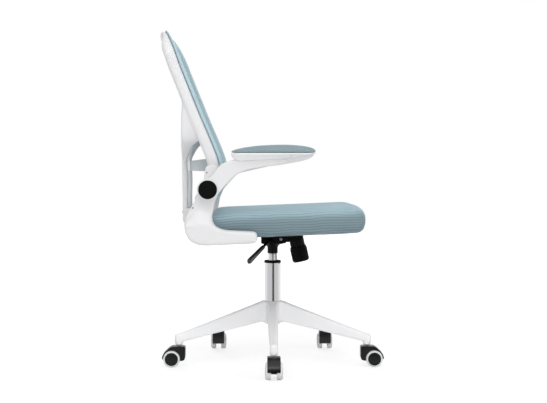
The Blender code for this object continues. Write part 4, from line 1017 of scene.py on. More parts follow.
class Fasteners:
    """Rows of socket-head screws set on faces."""

    def __init__(self) -> None:
        """Draw the tree: a low head with a thin black six-sided disc on top, painted shade for its recess, at
        each point, along its facing.
        """
        tree = RepeatTree("screw_rows")
        radius = tree.size("Head Radius", 0.0045)
        height = tree.size("Head Height", 0.0016)
        crown = tree.math("MULTIPLY", radius, 0.8)
        head = tree.add("MeshCone", {"Vertices": 28, "Radius Top": crown, "Radius Bottom": radius,
                                     "Depth": height})
        bright = tree.add("SetMaterial", {0: head.outputs[0], "Material": STEEL.material()})
        # A thin black six-sided disc on the head: painted shade standing in for the hex recess.
        shade_disc_radius = tree.math("MULTIPLY", radius, 0.5)
        recess = tree.add("MeshCylinder", {"Vertices": 6, "Radius": shade_disc_radius, "Depth": 0.0001})
        up = tree.node("ShaderNodeCombineXYZ", {2: tree.math("ADD", height, 0.00004)})
        raised = tree.add("Transform", {0: recess.outputs[0], "Translation": up.outputs[0]})
        painted_shade = tree.add("SetMaterial", {0: raised.outputs[0], "Material": BLACK.material()})
        both = tree.add("JoinGeometry")
        for part in (bright, painted_shade):
            tree.tree.links.new(part.outputs[0], both.inputs[0])
        facing = tree.add("InputNamedAttribute", {"Name": "facing"}, data_type="FLOAT_VECTOR")
        turn = tree.node("FunctionNodeAlignRotationToVector", {"Vector": facing.outputs[0]}, axis="Z")
        spread = tree.add("InstanceOnPoints", {"Points": tree.source.outputs[0], "Instance": both.outputs[0],
                                               "Rotation": turn.outputs[0]})
        tree.close(spread.outputs[0])
        self.tree = tree

    def set_on(self, name: str, body: str, spots: Sequence[tuple[Vector, Vector]],
               radius: float) -> bpy.types.Object:
        """Set screws on a body.

        Args:
            name: Name of the row.
            body: CAD body that it rides on.
            spots: Points on faces, each with the face's outward direction.
            radius: Head radius in metres.

        Returns:
            The row as one piece.
        """
        mesh = bpy.data.meshes.new(name)
        mesh.from_pydata([spot for spot, _ in spots], [], [])
        layer = mesh.attributes.new("facing", "FLOAT_VECTOR", "POINT")
        layer.data.foreach_set("vector", np.array([list(out) for _, out in spots], np.float32).ravel())
        piece = placed(name, mesh)
        self.tree.run(piece, {"Head Radius": radius, "Head Height": radius * 0.36})
        smooth_faces(piece, 40.0)
        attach(piece, body)
        LOG.info("%s: %d screws on %s", name, len(spots), body)
        return piece


class StitchLine:
    """Row of stitches along a seam."""

    def __init__(self, thread: Finish) -> None:
        """Draw the tree: a rounded thread at even steps along an edge line.

        Args:
            thread: Finish of the thread.
        """
        tree = RepeatTree("stitch_row")
        step = tree.size("Step", 0.005)
        length = tree.size("Length", 0.0036)
        thick = tree.size("Thickness", 0.0004)
        line = tree.add("MeshToCurve", {0: tree.source.outputs[0]})
        spots = tree.add("CurveToPoints", {0: line.outputs[0], "Length": step}, mode="LENGTH")
        turn = tree.node("FunctionNodeAlignRotationToVector", {"Vector": spots.outputs["Tangent"]}, axis="Z")
        half = tree.math("MULTIPLY", length, 0.5)
        size = tree.node("ShaderNodeCombineXYZ", {0: thick, 1: thick, 2: half})
        bead = tree.add("MeshUVSphere", {"Segments": 6, "Rings": 4, "Radius": 1.0})
        spread = tree.add("InstanceOnPoints", {
            "Points": spots.outputs[0], "Instance": bead.outputs[0], "Rotation": turn.outputs[0],
            "Scale": size.outputs[0]})
        tree.close(spread.outputs[0], thread.material())
        self.tree, self.thread = tree, thread

    def sew(self, name: str, body: str, path: Sequence[Vector]) -> bpy.types.Object:
        """Sew along a closed path on a body.

        Args:
            name: Name of the row.
            body: CAD body that it rides on.
            path: Points of the seam.

        Returns:
            The stitches as one piece.
        """
        mesh = bpy.data.meshes.new(name)
        count = len(path)
        mesh.from_pydata([tuple(p) for p in path], [(i, (i + 1) % count) for i in range(count)], [])
        piece = placed(name, mesh)
        self.tree.run(piece, {})
        piece.data.shade_smooth()
        weave_map(piece, LIFT_FRAME)
        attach(piece, body)
        LOG.info("%s: %d faces", name, len(piece.data.polygons))
        return piece


# Sub-assemblies

@dataclass
class StarBase:
    """Five-legged base: legs melted into the hub, ribbed pockets below, and bores for tube and stems."""

    legs: int = 5
    first_angle: float = -90.0
    stem_circle: float = 290.0
    boss_bottom: float = 64.62
    boss_radius: float = 11.8
    boss_height: float = 26.0
    root_width: float = 33.0
    tip_width: float = 24.0
    root_height: float = 60.0
    tip_height: float = 25.0
    tip_under: float = 10.0
    rise: float = 50.0
    flare: float = 7.0
    wall: float = 3.5
    rib: float = 3.0
    bays: int = 3
    hub_low: float = 119.62
    hub_high: float = 184.62
    hub_wall: float = 6.5
    tube_bore: float = 25.3
    stem_bore: float = 5.8
    stem_depth: float = 24.3
    leg_start: float = 30.0
    leg_end: float = 8.0

    def section(self, radius: float) -> tuple[float, float, float]:
        """Work out a leg's section.

        Args:
            radius: Distance from the swivel axis.

        Returns:
            The leg's half width, underside and top there.
        """
        along = (radius - self.leg_start) / (self.stem_circle - self.leg_start - self.leg_end)
        under = self.boss_bottom + self.tip_under + self.rise * (1 - min(along, 1.05))
        half = mix(self.root_width, self.tip_width, along) / 2
        return half, under, under + mix(self.root_height, self.tip_height, along)

    def build(self) -> None:
        """Melt hub, legs and bosses into one moulding, then cut its pockets and bores."""
        body, cuts = bmesh.new(), bmesh.new()
        outer, low, high = self.tube_bore + self.hub_wall, self.hub_low, self.hub_high
        hub = ((0, low), (outer + 2, low), (outer + 2, low + 14), (outer, high - 12), (outer - 1, high - 2),
               (outer - 3, high), (0, high))
        revolve(body, soften(hub, 3.0, 3, closed=False), 64)
        bore = self.tube_bore
        taper = ((0, low - 8), (bore - 0.8, low - 8), (bore, high), (bore, high + 8), (0, high + 8))
        revolve(cuts, taper, 64)
        for k in range(self.legs):
            turn = Matrix.Rotation(math.radians(self.first_angle + 360.0 / self.legs * k), 4, "Z")
            self.leg(body, turn)
            self.pockets(cuts, turn)
        piece = fuse(drafted(body, "base_moulding", LIFT_FRAME), 0.0022, 9)
        carve(piece, drafted(cuts, "base_cuts", LIFT_FRAME))
        # The base takes the white painted lighter against the shade under the seat.
        settle(piece, WHITE_PAINTED_LIGHTER, "base", "star_base")

    def leg(self, bm: bmesh.types.BMesh, turn: Matrix) -> None:
        """Loft one leg, flared where it meets the hub, and turn the boss at its end.

        Args:
            bm: Mesh to add to.
            turn: Leg's rotation about the swivel axis.
        """
        end = self.stem_circle + self.boss_radius
        tips = ((end - 2.5, 1.5), (end, 4.5))
        rows = [(r, 0.0) for r in np.linspace(self.tube_bore + 2, end - 10, 26)] + list(tips)
        sections = []
        for radius, drop in rows:
            half, under, top = self.section(radius)
            near = max(0.0, 1 - (radius - self.tube_bore) / 34.0) ** 2
            half, top = half - drop * 0.25 + self.flare * near, top - drop
            line = ((-half, under), (half, under), (half - 3.5, top), (3.5 - half, top))
            sections.append([turn @ Vector((radius, y, z)) for y, z in soften(line, 5.0, 4)])
        loft(bm, sections)
        stem = turn @ Matrix.Translation((self.stem_circle, 0, self.boss_bottom))
        boss = ((0, 0), (self.boss_radius, 0), (self.boss_radius, self.boss_height), (0, self.boss_height))
        revolve(bm, soften(boss, 1.5, 3, closed=False), 40, stem)

    def pockets(self, bm: bmesh.types.BMesh, turn: Matrix) -> None:
        """Add one leg's pockets, with ribs left between them, and its stem's bore.

        Args:
            bm: Mesh of the cuts.
            turn: Leg's rotation about the swivel axis.
        """
        first, last = self.tube_bore + self.hub_wall + 8, self.stem_circle - self.boss_radius - 5
        bay = (last - first + self.rib) / self.bays
        for b in range(self.bays):
            walls = []
            for radius in (first + b * bay, first + (b + 1) * bay - self.rib):
                half, under, top = self.section(radius)
                half, top = half - self.wall - 1.5, top - self.wall - 3
                line = ((-half, under - 4), (half, under - 4), (half - 2, top), (2 - half, top))
                walls.append([turn @ Vector((radius, y, z)) for y, z in soften(line, 2.0, 2)])
            loft(bm, walls)
        stem = turn @ Matrix.Translation((self.stem_circle, 0, self.boss_bottom))
        bore, deep = self.stem_bore, self.stem_depth
        revolve(bm, ((0, -6), (bore, -6), (bore, deep), (0, deep)), 24, stem)


@dataclass
class Caster:
    """Twin-wheel caster: hood, stem, axle and two capped wheels."""

    place: CasterPlace
    trail: float = 21.5
    axle: float = 24.62
    radius: float = 25.0
    inner: float = 8.4
    width: float = 16.4
    cap: float = 19.2
    rolling_share: float = 0.9848
    bore: float = 3.3

    def build(self) -> None:
        """Make the wheels and hood and dress the stem and axle."""
        word, heading = self.place.value
        stem = Vector(JOINTS[f"caster_swivel_{word}"]["pos_m"])
        here = scaled_frame(Vector((stem.x, stem.y, 0)), Matrix.Rotation(math.radians(heading), 4, "Z"))
        self.hood(word)
        for number, side in ((1, 1), (2, -1)):
            self.wheel(f"{word}_{number}", here, side)
        for node in (f"caster_stem_{word}", f"caster_axle_{word}"):
            dress_node(node, STEEL)

    def hood(self, word: str) -> None:
        """Ease the hood's edges."""
        settle(polished(f"caster_hood_{word}", f"hood_{word}", 0.0011, 3), HOOD_BLACK, f"caster_{word}",
               f"caster_hood_{word}")

    def wheel(self, label: str, here: Matrix, side: int) -> None:
        """Make a tread ring with its hub and a dished black cap, on one wheel's body.

        Args:
            label: Wheel's name after the word wheel.
            here: Caster's frame.
            side: Which way along the axle the wheel lies.
        """
        inner, outer = self.inner, self.inner + self.width
        cap, radius, bore = self.cap, self.radius, self.bore
        rolling = radius * self.rolling_share
        axle = here @ sideways((self.trail, 0, self.axle), side)
        tread = ((bore, inner), (radius - 0.5, inner), (rolling, inner + 0.6), (rolling, outer - 6.2),
                 (radius - 2.2, outer - 2.4), (radius - 4.6, outer - 0.9), (cap + 0.2, outer - 0.8),
                 (cap, outer - 1.8), (cap, outer - 4.5), (bore, outer - 4.5))
        finished(revolve(bmesh.new(), soften(tread, 1.4, 3), 56), f"tread_{label}", axle, CREASE, TREAD,
                 f"wheel_{label}", f"wheel_{label}")
        disc = ((0, outer - 4.2), (cap - 0.3, outer - 4.2), (cap - 0.3, outer - 1.2),
                (cap - 1.4, outer - 0.55), (cap - 3.0, outer - 1.0), (cap - 3.8, outer - 1.0),
                (cap * 0.45, outer - 0.15), (cap * 0.25, outer - 0.1), (0, outer))
        finished(revolve(bmesh.new(), soften(disc, 0.7, 2, closed=False), 56), f"cap_{label}", axle, CREASE,
                 HOOD_BLACK, f"wheel_{label}")


@dataclass
class GasLift:
    """Chromed stand tube and gas cylinder with the guide collar between them."""

    tube_radius: float = 25.0
    tube_wall: float = 2.5
    hub_height: float = 69.0
    cylinder_radius: float = 14.0
    rod_radius: float = 5.2
    rod_bore: float = 103.1

    def build(self) -> None:
        """Turn the visible pieces afresh and dress the hidden ones."""
        low, high = (corner.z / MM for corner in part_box("stand_tube"))
        r, inner, hub = self.tube_radius, self.tube_radius - self.tube_wall, low + self.hub_height
        rod = self.rod_radius
        tube = ((rod, low), (r - 1.7, low), (r - 0.7, low + 4), (r, hub), (r, high), (inner, high),
                (inner, hub), (inner - 0.7, low + 3), (rod, low + 3))
        turned_piece("stand_tube_chrome", tube, LIFT_FRAME, CHROME, "base", "stand_tube", round_off=0.5)
        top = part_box("tube_collar")[1].z / MM
        guide = inner - 0.3
        collar = ((14.3, high - 60), (guide, high - 60), (guide, high + 0.3), (r + 0.3, high + 0.3),
                  (r + 0.3, top - 2.2), (r - 1.6, top), (15.4, top), (14.3, top - 1))
        turned_piece("guide_collar", collar, LIFT_FRAME, BLACK, "base", "tube_collar", round_off=0.9)
        base, crown = (corner.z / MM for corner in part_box("gas_cylinder"))
        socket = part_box("mechanism_housing")[0].z / MM
        c, bore = self.cylinder_radius, base + self.rod_bore
        cylinder = ((0, bore), (rod, bore), (rod, base), (c - 1, base), (c, base + 1), (c, socket - 2.4),
                    (c - 0.6, socket - 1), (c - 0.6, crown), (3.3, crown), (3.3, crown - 30), (0, crown - 30))
        turned_piece("gas_cylinder_chrome", cylinder, LIFT_FRAME, CHROME, "lift", "gas_cylinder",
                     round_off=0.4)
        for node, finish in (("piston_rod", STEEL), ("thrust_bearing", STEEL), ("retaining_clip", STEEL),
                             ("valve_button", BLACK)):
            dress_node(node, finish)


@dataclass
class Mechanism:
    """Rocking mechanism with its tension knob, drawn from the tilt pin."""

    pin_half: float = 54.5
    knob_at: tuple[float, float, float] = (51.0, 0.0, -26.6)
    knob_lean: float = 10.3
    knob_radius: float = 25.5
    knob_length: float = 47.0
    flutes: int = 30
    spring_radius: float = 12.0
    spring_wire: float = 1.96
    spring_turns: int = 5
    spring_ends: Point = (-39.7, 19.0)
    spring_pressed: float = 0.69

    @property
    def knob_frame(self) -> Matrix:
        """Frame at the knob's top, along its axis."""
        lean = Matrix.Rotation(-math.radians(self.knob_lean), 4, "Y")
        return SEAT_FRAME @ Matrix.Translation(self.knob_at) @ lean

    def build(self, screws: Fasteners) -> None:
        """Ease the pressed pieces and make the pin, bolt, spring and knob.

        Args:
            screws: Maker of the screws that hold the seat plate.
        """
        housing = polished("mechanism_housing", "housing_pressing", 0.0010)
        settle(housing, PRESSED, "lift", "mechanism_housing")
        settle(polished("seat_plate", "seat_plate_pressing", 0.0007), PRESSED, "seat", "seat_plate")
        half = self.pin_half
        pin = ((0, -half), (3.7, -half), (4.5, 0.9 - half), (4.5, half - 0.9), (3.7, half), (0, half))
        turned_piece("tilt_pin_turned", pin, MECHANISM_FRAME @ ALONG_Y, STEEL, "lift", "tilt_pin",
                     round_off=0.4, steps=32)
        dress_node("tension_bolt", STEEL)
        self.spring()
        self.knob()
        under = SEAT_FRAME.to_3x3() @ Vector((0, 0, -1))
        spots = [(SEAT_FRAME @ Vector((x, y, 15.5)), under) for x in (-48, 48) for y in (-82, 82)]
        screws.set_on("plate_screws", "seat", spots, 0.0055)

    def spring(self) -> None:
        """Wind the tension spring."""
        per_turn = 36
        steps = self.spring_turns * per_turn
        path = []
        for i in range(steps + 1):
            angle = 2 * math.pi * i / per_turn
            share = (i - per_turn / 2) / (steps - per_turn)
            path.append(Vector((self.spring_radius * math.cos(angle), self.spring_radius * math.sin(angle),
                                mix(*self.spring_ends, share))))
        wire = arc(0, 0, self.spring_wire, 0, 360, 13)[:-1]
        coil = finished(sweep(bmesh.new(), path, lambda i: wire, Vector((0, 0, 1))), "tension_coil",
                        self.knob_frame, SOFT_CREASE, STEEL, "seat", "tension_spring")
        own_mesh(coil)

    def knob(self) -> None:
        """Turn the knob's shell and set flutes round it."""
        axis = self.knob_frame
        r, length = self.knob_radius - 0.9, self.knob_length
        end = -length
        shell = ((0, end + 0.4), (8, end + 0.4), (9, end), (r - 4, end), (r - 0.9, end + 1.6), (r, end + 6),
                 (r, -4), (r - 0.5, -0.8), (r - 1.4, 0), (r - 3.2, 0), (r - 3.2, end + 5), (4.3, end + 5),
                 (4.3, end + 2.7), (0, end + 2.7))
        finished(revolve(bmesh.new(), soften(shell, 0.8, 3, closed=False), 60), "tension_knob_shell", axis,
                 CREASE, BLACK, "knob", "tension_knob")
        tree = RepeatTree("knob_flutes")
        count = tree.size("Count", self.flutes, whole=True)
        reach = tree.size("Reach", r - 0.35)
        width = tree.size("Width", 1.2)
        tall = tree.size("Length", length - 11)
        ring = tree.add("MeshCircle", {"Vertices": count, "Radius": reach})
        rib = tree.add("MeshCylinder", {"Vertices": 10, "Side Segments": 1, "Radius": width, "Depth": tall})
        spread = tree.add("InstanceOnPoints", {"Points": ring.outputs[0], "Instance": rib.outputs[0]})
        tree.close(spread.outputs[0], BLACK.material())
        grip = placed("tension_knob_flutes", bpy.data.meshes.new("tension_knob_flutes"))
        tree.run(grip, {})
        grip.data.transform(axis @ Matrix.Translation((0, 0, -length / 2 - 0.5)))
        smooth_faces(grip, 40.0)
        settle(grip, BLACK, "knob")


@dataclass
class HeightLever:
    """Bent lever through the housing wall, with a flattened grip."""

    radius: float = 4.0
    wall: float = 44.5
    behind: float = 30.8
    below: float = 3.0
    past_axis: float = 8.0
    bend: float = 59.0
    tip: tuple[float, float, float] = (-94.7, -196.0, -56.0)

    def build(self) -> None:
        """Sweep the rod and loft the grip."""
        inward = Vector((self.behind - 24.0, self.wall, 0)).normalized()
        at_wall = Vector((-self.behind, -self.wall, -self.below))
        corner = at_wall - inward * ((self.bend - self.wall) / inward.y)
        tip = Vector(self.tip)
        out = (tip - corner).normalized()
        length = (tip - corner).length
        grip_from = corner + out * 0.3 * length
        path = [at_wall + inward * ((self.wall + self.past_axis) / inward.y)]
        start, end = corner + inward * 8, corner + out * 8
        for k in range(11):
            t = k / 10
            path.append(start * (1 - t) ** 2 + corner * 2 * t * (1 - t) + end * t * t)
        path.append(grip_from + out * 28)
        ring = arc(0, 0, self.radius, 0, 360 - 360 / 20, 19)
        up = Vector((0, 0, 1))
        finished(sweep(bmesh.new(), path, lambda i: ring, up), "lever_bar", MECHANISM_FRAME, SOFT_CREASE,
                 PRESSED, "lever", "lever_rod")
        steps = flowing(((0, 9.6, 9.6), (6, 11.0, 10.8), (0.18 * length, 12.0, 11.4),
                         (0.4 * length, 12.8, 11.8), (0.62 * length, 14.6, 12.0),
                         (0.68 * length, 13.8, 11.0), (0.70 * length, 11.0, 8.4)), 6)
        line = [grip_from + out * s[0] for s in steps]

        def section(i: int) -> list[Point]:
            """Rounded section of the grip at a number along it."""
            width, thick = steps[i][1] / 2, steps[i][2] / 2
            return soften([(-thick, -width), (thick, -width), (thick, width), (-thick, width)], 4.2, 5)
        finished(sweep(bmesh.new(), line, section, up), "lever_paddle", MECHANISM_FRAME, SOFT_CREASE,
                 GRIP_BLACK, "lever", "lever_grip")
        dress_node("lever_bush", BLACK)


@dataclass
class Seat:
    """Moulded pan and the fabric-covered cushion on it, drawn from the tilt pin."""

    front: float = 256.0
    rear: float = 218.0
    half_width: float = 244.0
    corner: float = 44.0
    rear_corner: float = 26.0
    bottom: float = 18.2
    thickness: float = 76.6
    shrink: float = 2.0
    bow: float = 17.0
    least_corner: float = 14.0
    pan_middle: float = 23.5
    pan_tuck: Point = (0.95, 0.955)
    recess: float = 10.4
    hem: float = 31.0
    edge: tuple[Point, ...] = ((28.0, 0.0), (19.0, 0.026), (11.5, 0.08), (6.0, 0.16), (2.4, 0.265),
                               (0.5, 0.385), (0.0, 0.50), (0.9, 0.61), (3.2, 0.715), (7.2, 0.805),
                               (13.0, 0.88), (21.0, 0.933), (31.0, 0.963), (45.0, 0.98), (80.0, 0.99),
                               (110.0, 0.996), (150.0, 1.0))

    def outline(self, distance: float, steps: int = 14) -> list[Point]:
        """Draw the seat's plan.

        Args:
            distance: How far it is moved in.
            steps: Points along each corner and the front edge.

        Returns:
            The plan's points.
        """
        half = (self.front + self.rear) / 2 - distance
        wide = self.half_width - distance
        middle = (self.front - self.rear) / 2
        points: list[Point] = []
        for sx, sy, start in ((1, 1, 0), (-1, 1, 90), (-1, -1, 180), (1, -1, 270)):
            corner = max((self.corner if sx > 0 else self.rear_corner) - distance, self.least_corner)
            points += arc(sx * (half - corner) + middle, sy * (wide - corner), corner, start, start + 90,
                          steps)
        straight = wide - max(self.corner - distance, self.least_corner)
        return points + [(half + middle, straight * (2 * k / steps - 1)) for k in range(1, steps)]

    def bowed(self, x: float, y: float) -> Point:
        """A point of the plan with the front edge set back towards the corners."""
        share = max(0.0, (x + self.rear) / (self.front + self.rear)) ** 2
        return x - self.bow * share * (y / self.half_width) ** 2, y

    def build(self, screws: Fasteners, stitches: StitchLine) -> None:
        """Make the cushion and dress the pan.

        Args:
            screws: Maker of the pan's screws.
            stitches: Maker of the hem's stitches.
        """
        pan = polished("seat_pan", "seat_pan_moulding", 0.0015)
        middle = Matrix.Translation((self.pan_middle, 0, 0))
        tucked = middle @ Matrix.Diagonal((*self.pan_tuck, 1.0, 1.0)) @ middle.inverted()
        pan.data.transform(SEAT_FRAME @ tucked @ SEAT_FRAME.inverted())
        settle(pan, BLACK, "seat", "seat_pan")
        low, tall = self.bottom, self.thickness - self.shrink
        levels = [(self.hem + 4, low + self.recess), (self.hem + 1, low)]
        levels += [(inward + self.shrink, low + tall * share) for inward, share in self.edge]
        sections = [[(*self.bowed(x, y), z) for x, y in self.outline(inward)] for inward, z in levels]
        cushion = drafted(loft(bmesh.new(), sections), "seat_cushion_cover", SEAT_FRAME)
        up = SEAT_FRAME.to_3x3().normalized() @ Vector((0, 0, 1))
        rest = (SEAT_FRAME @ Vector((0, 0, low + 5))).dot(up)
        puff(cushion, 0.0055, rest, up)
        weave_map(cushion, SEAT_FRAME)
        settle(cushion, FABRIC, "seat", "seat_cushion")
        spots = [(SEAT_FRAME @ Vector((x, y, 18.3)), -up) for x in (-150, 190) for y in (-170, 0, 170)]
        screws.set_on("pan_screws", "seat", spots, 0.005)
        hem = [SEAT_FRAME @ Vector((*self.bowed(x, y), low - 0.1)) for x, y in self.outline(self.hem, 10)]
        stitches.sew("cushion_hem_stitches", "seat", hem)


@dataclass
class SideBracket:
    """White bracket that joins seat, back and arm hinge on one side."""

    side: Side
    inner: float = 248.0
    neck: float = 18.0
    heel: float = 37.0
    slope: float = 40.0
    foot_line: tuple[Point, ...] = ((-70, 4.5), (-68.5, 31), (-74.5, 38), (-150, 44.5), (-171, 49),
                                    (-188, 61))
    neck_line: tuple[Point, ...] = ((-194, 80), (-184, 124), (-173, 146), (-169, 172), (-170, 220),
                                    (-178, 228), (-201, 228.5), (-207, 217), (-211.5, 188), (-228, 150),
                                    (-240, 128), (-257, 104))
    heel_line: tuple[Point, ...] = ((-273, 72), (-269, 36), (-254, 15), (-232, 5.5), (-208, 3.5))
    heel_top: tuple[tuple[float, float, float], ...] = ((-194, 80, 0.4), (-199, 97, 0.7), (-222, 113, 1.0),
                                                        (-247, 103, 0.9))
    screw_spots: tuple[Point, ...] = ((-202.0, 208.0), (-245.0, 111.0))

    def build(self, screws: Fasteners) -> None:
        """Melt neck, heel and flange into one moulding and set its screws.

        Args:
            screws: Maker of the bracket's screws.
        """
        sign, word = self.side.value, self.side.word
        out, far = self.inner + self.neck, self.inner + self.heel
        bm = bmesh.new()
        line = soften(self.foot_line + self.neck_line + self.heel_line, 14.0, 4)
        slab(bm, line, self.inner, out - 0.1, 2.2, sign)
        rows = flowing(((out - 6, 0.8, 0.0), (out + 1, 0.8, 0.16), (out + 6, 0.8, 0.42), (far - 8, 0.8, 0.72),
                        (far - 3.5, 2.6, 0.92), (far - 1.0, 5.6, 0.98), (far, 9.5, 1.0)), 3)
        sections = []
        for y, edge, share in rows:
            top = tuple((x, z - self.slope * share * part) for x, z, part in self.heel_top)
            line = inset(soften(self.foot_line + top + self.heel_line, 14.0, 4), edge)
            sections.append([(x, sign * y, z) for x, z in line])
        loft(bm, sections)
        flange = ((-165, 150), (-80, 150), (-80, self.inner + 10), (-165, self.inner + 10))
        loft(bm, [[(x, sign * y, z) for x, y in flange] for z in (7.5, 17.9)])
        piece = fuse(drafted(bm, f"bracket_{word}", SEAT_FRAME), 0.0018, 12)
        settle(piece, WHITE, "seat", f"side_bracket_{word}")
        outward = Vector((0, sign, 0))
        spots = [(SEAT_FRAME @ Vector((x, sign * (out - 0.4), z)), outward) for x, z in self.screw_spots]
        screws.set_on(f"bracket_screws_{word}", "seat", spots, 0.0026)
        down = SEAT_FRAME.to_3x3().normalized() @ Vector((0, 0, -1))
        spots = [(SEAT_FRAME @ Vector((x, sign * y, 7.6)), down) for x in (-150, -95) for y in (175, 225)]
        screws.set_on(f"flange_screws_{word}", "seat", spots, 0.0055)
        dress_node(f"hinge_pin_{word}", STEEL)


@dataclass
class FlipArm:
    """Arm on its hinge: moulded arm, tray, fabric pad and hinge cap, drawn from the hinge pin."""

    side: Side
    inner: float = 266.3
    width: float = 29.6
    hub: float = 30.0
    cap: float = 26.0
    pad_rear: float = 63.0
    pad_front: float = 301.0
    pad_middle: float = 285.0
    pad_width: float = 88.0
    pad_seat: float = 101.7
    pad_thickness: float = 24.0
    rear_round: float = 34.0
    nose_round: float = 52.0
    lower: tuple[Point, ...] = ((46, 8), (67, 30), (86, 46), (109, 55), (150, 63), (197, 68), (256, 78),
                                (284, 86.5), (297, 97))
    seam: tuple[Point, ...] = ((286, 97.5), (244, 89.5), (150, 82), (92, 79.5), (80, 81.5))
    upper: tuple[Point, ...] = ((66, 82), (51, 77.5), (32, 67.5), (4, 31))

    def hinge_frame(self) -> Matrix:
        """Frame on the hinge axis, with Y from the chair's mid-plane."""
        at = Vector(JOINTS[f"arm_flip_{self.side.word}"]["pos_m"])
        return scaled_frame(Vector((at.x, 0, at.z)))

    def build(self, screws: Fasteners) -> None:
        """Make the arm, tray, pad and cap.

        Args:
            screws: Maker of the tray's screws.
        """
        here, sign, word, body = self.hinge_frame(), self.side.value, self.side.word, self.side.arm_body
        bm = bmesh.new()
        raised = tuple((x, z + 2.5) for x, z in self.seam)
        hub = tuple(arc(0, 0, self.hub, 105, 325, 30))
        line = soften(hub + self.lower + raised + self.upper, 9.0, 4)
        slab(bm, line, self.inner + 0.1, self.inner + self.width, 6.5, sign)
        puck = sideways((0, sign * self.inner, 0), sign)
        disc = ((0, 0.1), (self.hub, 0.1), (self.hub, self.width), (0, self.width))
        revolve(bm, soften(disc, 1.6, 3, closed=False), 64, puck)
        arm = fuse(drafted(bm, f"arm_moulding_{word}", here), 0.0018, 7)
        settle(arm, WHITE, body, f"arm_{word}")
        face, cap = self.width + 0.3, self.cap
        disc = ((0, face), (cap, face), (cap, face + 2.6), (cap - 1.2, face + 4.0), (cap - 2.4, face + 4.2),
                (cap - 3.4, face + 3.8), (cap * 0.5, face + 4.3), (0, face + 4.5))
        finished(revolve(bmesh.new(), soften(disc, 0.8, 3, closed=False), 72), f"hinge_cover_{word}",
                 here @ puck, CREASE, BLACK, body, f"hinge_cap_{word}")
        self.tray(here)
        self.pad(here)
        spots = [(here @ Vector((x, sign * (self.pad_middle + 27), self.pad_seat - 7.2)), Vector((0, 0, -1)))
                 for x in (110, 230)]
        screws.set_on(f"tray_screws_{word}", body, spots, 0.0040)

    def half(self, x: float, full: float) -> float:
        """Work out the pad's plan, with a round rear end and a longer round nose.

        Args:
            x: Place along the arm.
            full: Half width between the round ends.

        Returns:
            Half width at that place.
        """
        rear, nose = self.rear_round, self.nose_round
        if x < self.pad_rear + rear:
            return full * math.sqrt(max(0.03, 1 - ((self.pad_rear + rear - x) / rear) ** 2 * 0.97))
        if x > self.pad_front - nose:
            return full * math.sqrt(max(0.03, 1 - ((x - self.pad_front + nose) / nose) ** 2 * 0.97))
        return full

    def under(self, x: float) -> float:
        """Find the tray's keel, a little below the seam.

        Args:
            x: Place along the arm.

        Returns:
            Height of the keel there.
        """
        line = ((self.pad_rear + 2, self.pad_seat - 8), (self.pad_rear + 8, 86.5)) + tuple(
            (a, b - 1.5) for a, b in sorted(self.seam)) + ((self.pad_front - 2, self.pad_seat - 2.6),)
        return float(np.interp(x, [p[0] for p in line], [p[1] for p in line]))

    def places(self, inward: float, count: int) -> list[float]:
        """Places along the pad, closer together towards its ends."""
        shares = [0.5 - 0.5 * math.cos(math.pi * i / count) for i in range(count + 1)]
        return [mix(self.pad_rear + inward, self.pad_front - inward, share) for share in shares]

    def tray(self, here: Matrix) -> None:
        """Loft the boat-shaped tray that the pad sits in.

        Args:
            here: Arm's frame.
        """
        sign, word = self.side.value, self.side.word
        full = self.pad_width / 2 - 2
        sections = []
        for x in self.places(2, 64):
            wide, low = self.half(x, full), self.under(x)
            narrow = min(11.3, wide * 0.8)
            keel = mix(self.pad_middle, self.inner + self.width / 2, (x - 68) / 12)
            lip = min(4.0, (self.pad_seat - low) * 0.45)
            line = [(self.pad_middle - wide, self.pad_seat), (self.pad_middle - wide, self.pad_seat - lip),
                    (keel - narrow, low), (keel + narrow, low), (self.pad_middle + wide, self.pad_seat - lip),
                    (self.pad_middle + wide, self.pad_seat)]
            sections.append([(x, sign * y, z) for y, z in soften(line, 9.0, 4)])
        # The tray takes the white painted lighter against the shade under it.
        finished(loft(bmesh.new(), sections), f"pad_tray_{word}", here, SOFT_CREASE, WHITE_PAINTED_LIGHTER,
                 self.side.arm_body, f"arm_tray_{word}")

    def pad(self, here: Matrix) -> None:
        """Loft the pad a little small, swell it and dress it.

        Args:
            here: Arm's frame.
        """
        sign, word = self.side.value, self.side.word
        heights = ((self.pad_rear, 0.22), (self.pad_rear + 30, 0.55), (self.pad_rear + 75, 0.85),
                   (self.pad_rear + 143, 1.0), (self.pad_front - 45, 0.9), (self.pad_front - 12, 0.62),
                   (self.pad_front, 0.3))
        ring = soften(((-0.95, 0.0), (-1.0, 0.28), (-0.9, 0.62), (-0.55, 0.92), (0, 1.0), (0.55, 0.92),
                       (0.9, 0.62), (1.0, 0.28), (0.95, 0.0)), 0.2, 3)
        sections = []
        low = self.pad_seat + 0.3
        for x in self.places(1, 40):
            wide = self.half(x, self.pad_width / 2 - 1.2)
            thick = (self.pad_thickness - 1.6) * smooth_curve(heights, x)
            sections.append([(x, sign * (self.pad_middle + wide * a), low + thick * b) for a, b in ring])
        pad = drafted(loft(bmesh.new(), sections), f"arm_pad_cover_{word}", here)
        puff(pad, 0.0042, (here @ Vector((0, 0, self.pad_seat + 1.5))).z, Vector((0, 0, 1)))
        weave_map(pad, here @ Matrix.Translation((0, sign * self.pad_middle, 0)), Weave.CROSSWISE)
        settle(pad, PAD_FABRIC, self.side.arm_body, f"arm_pad_{word}")


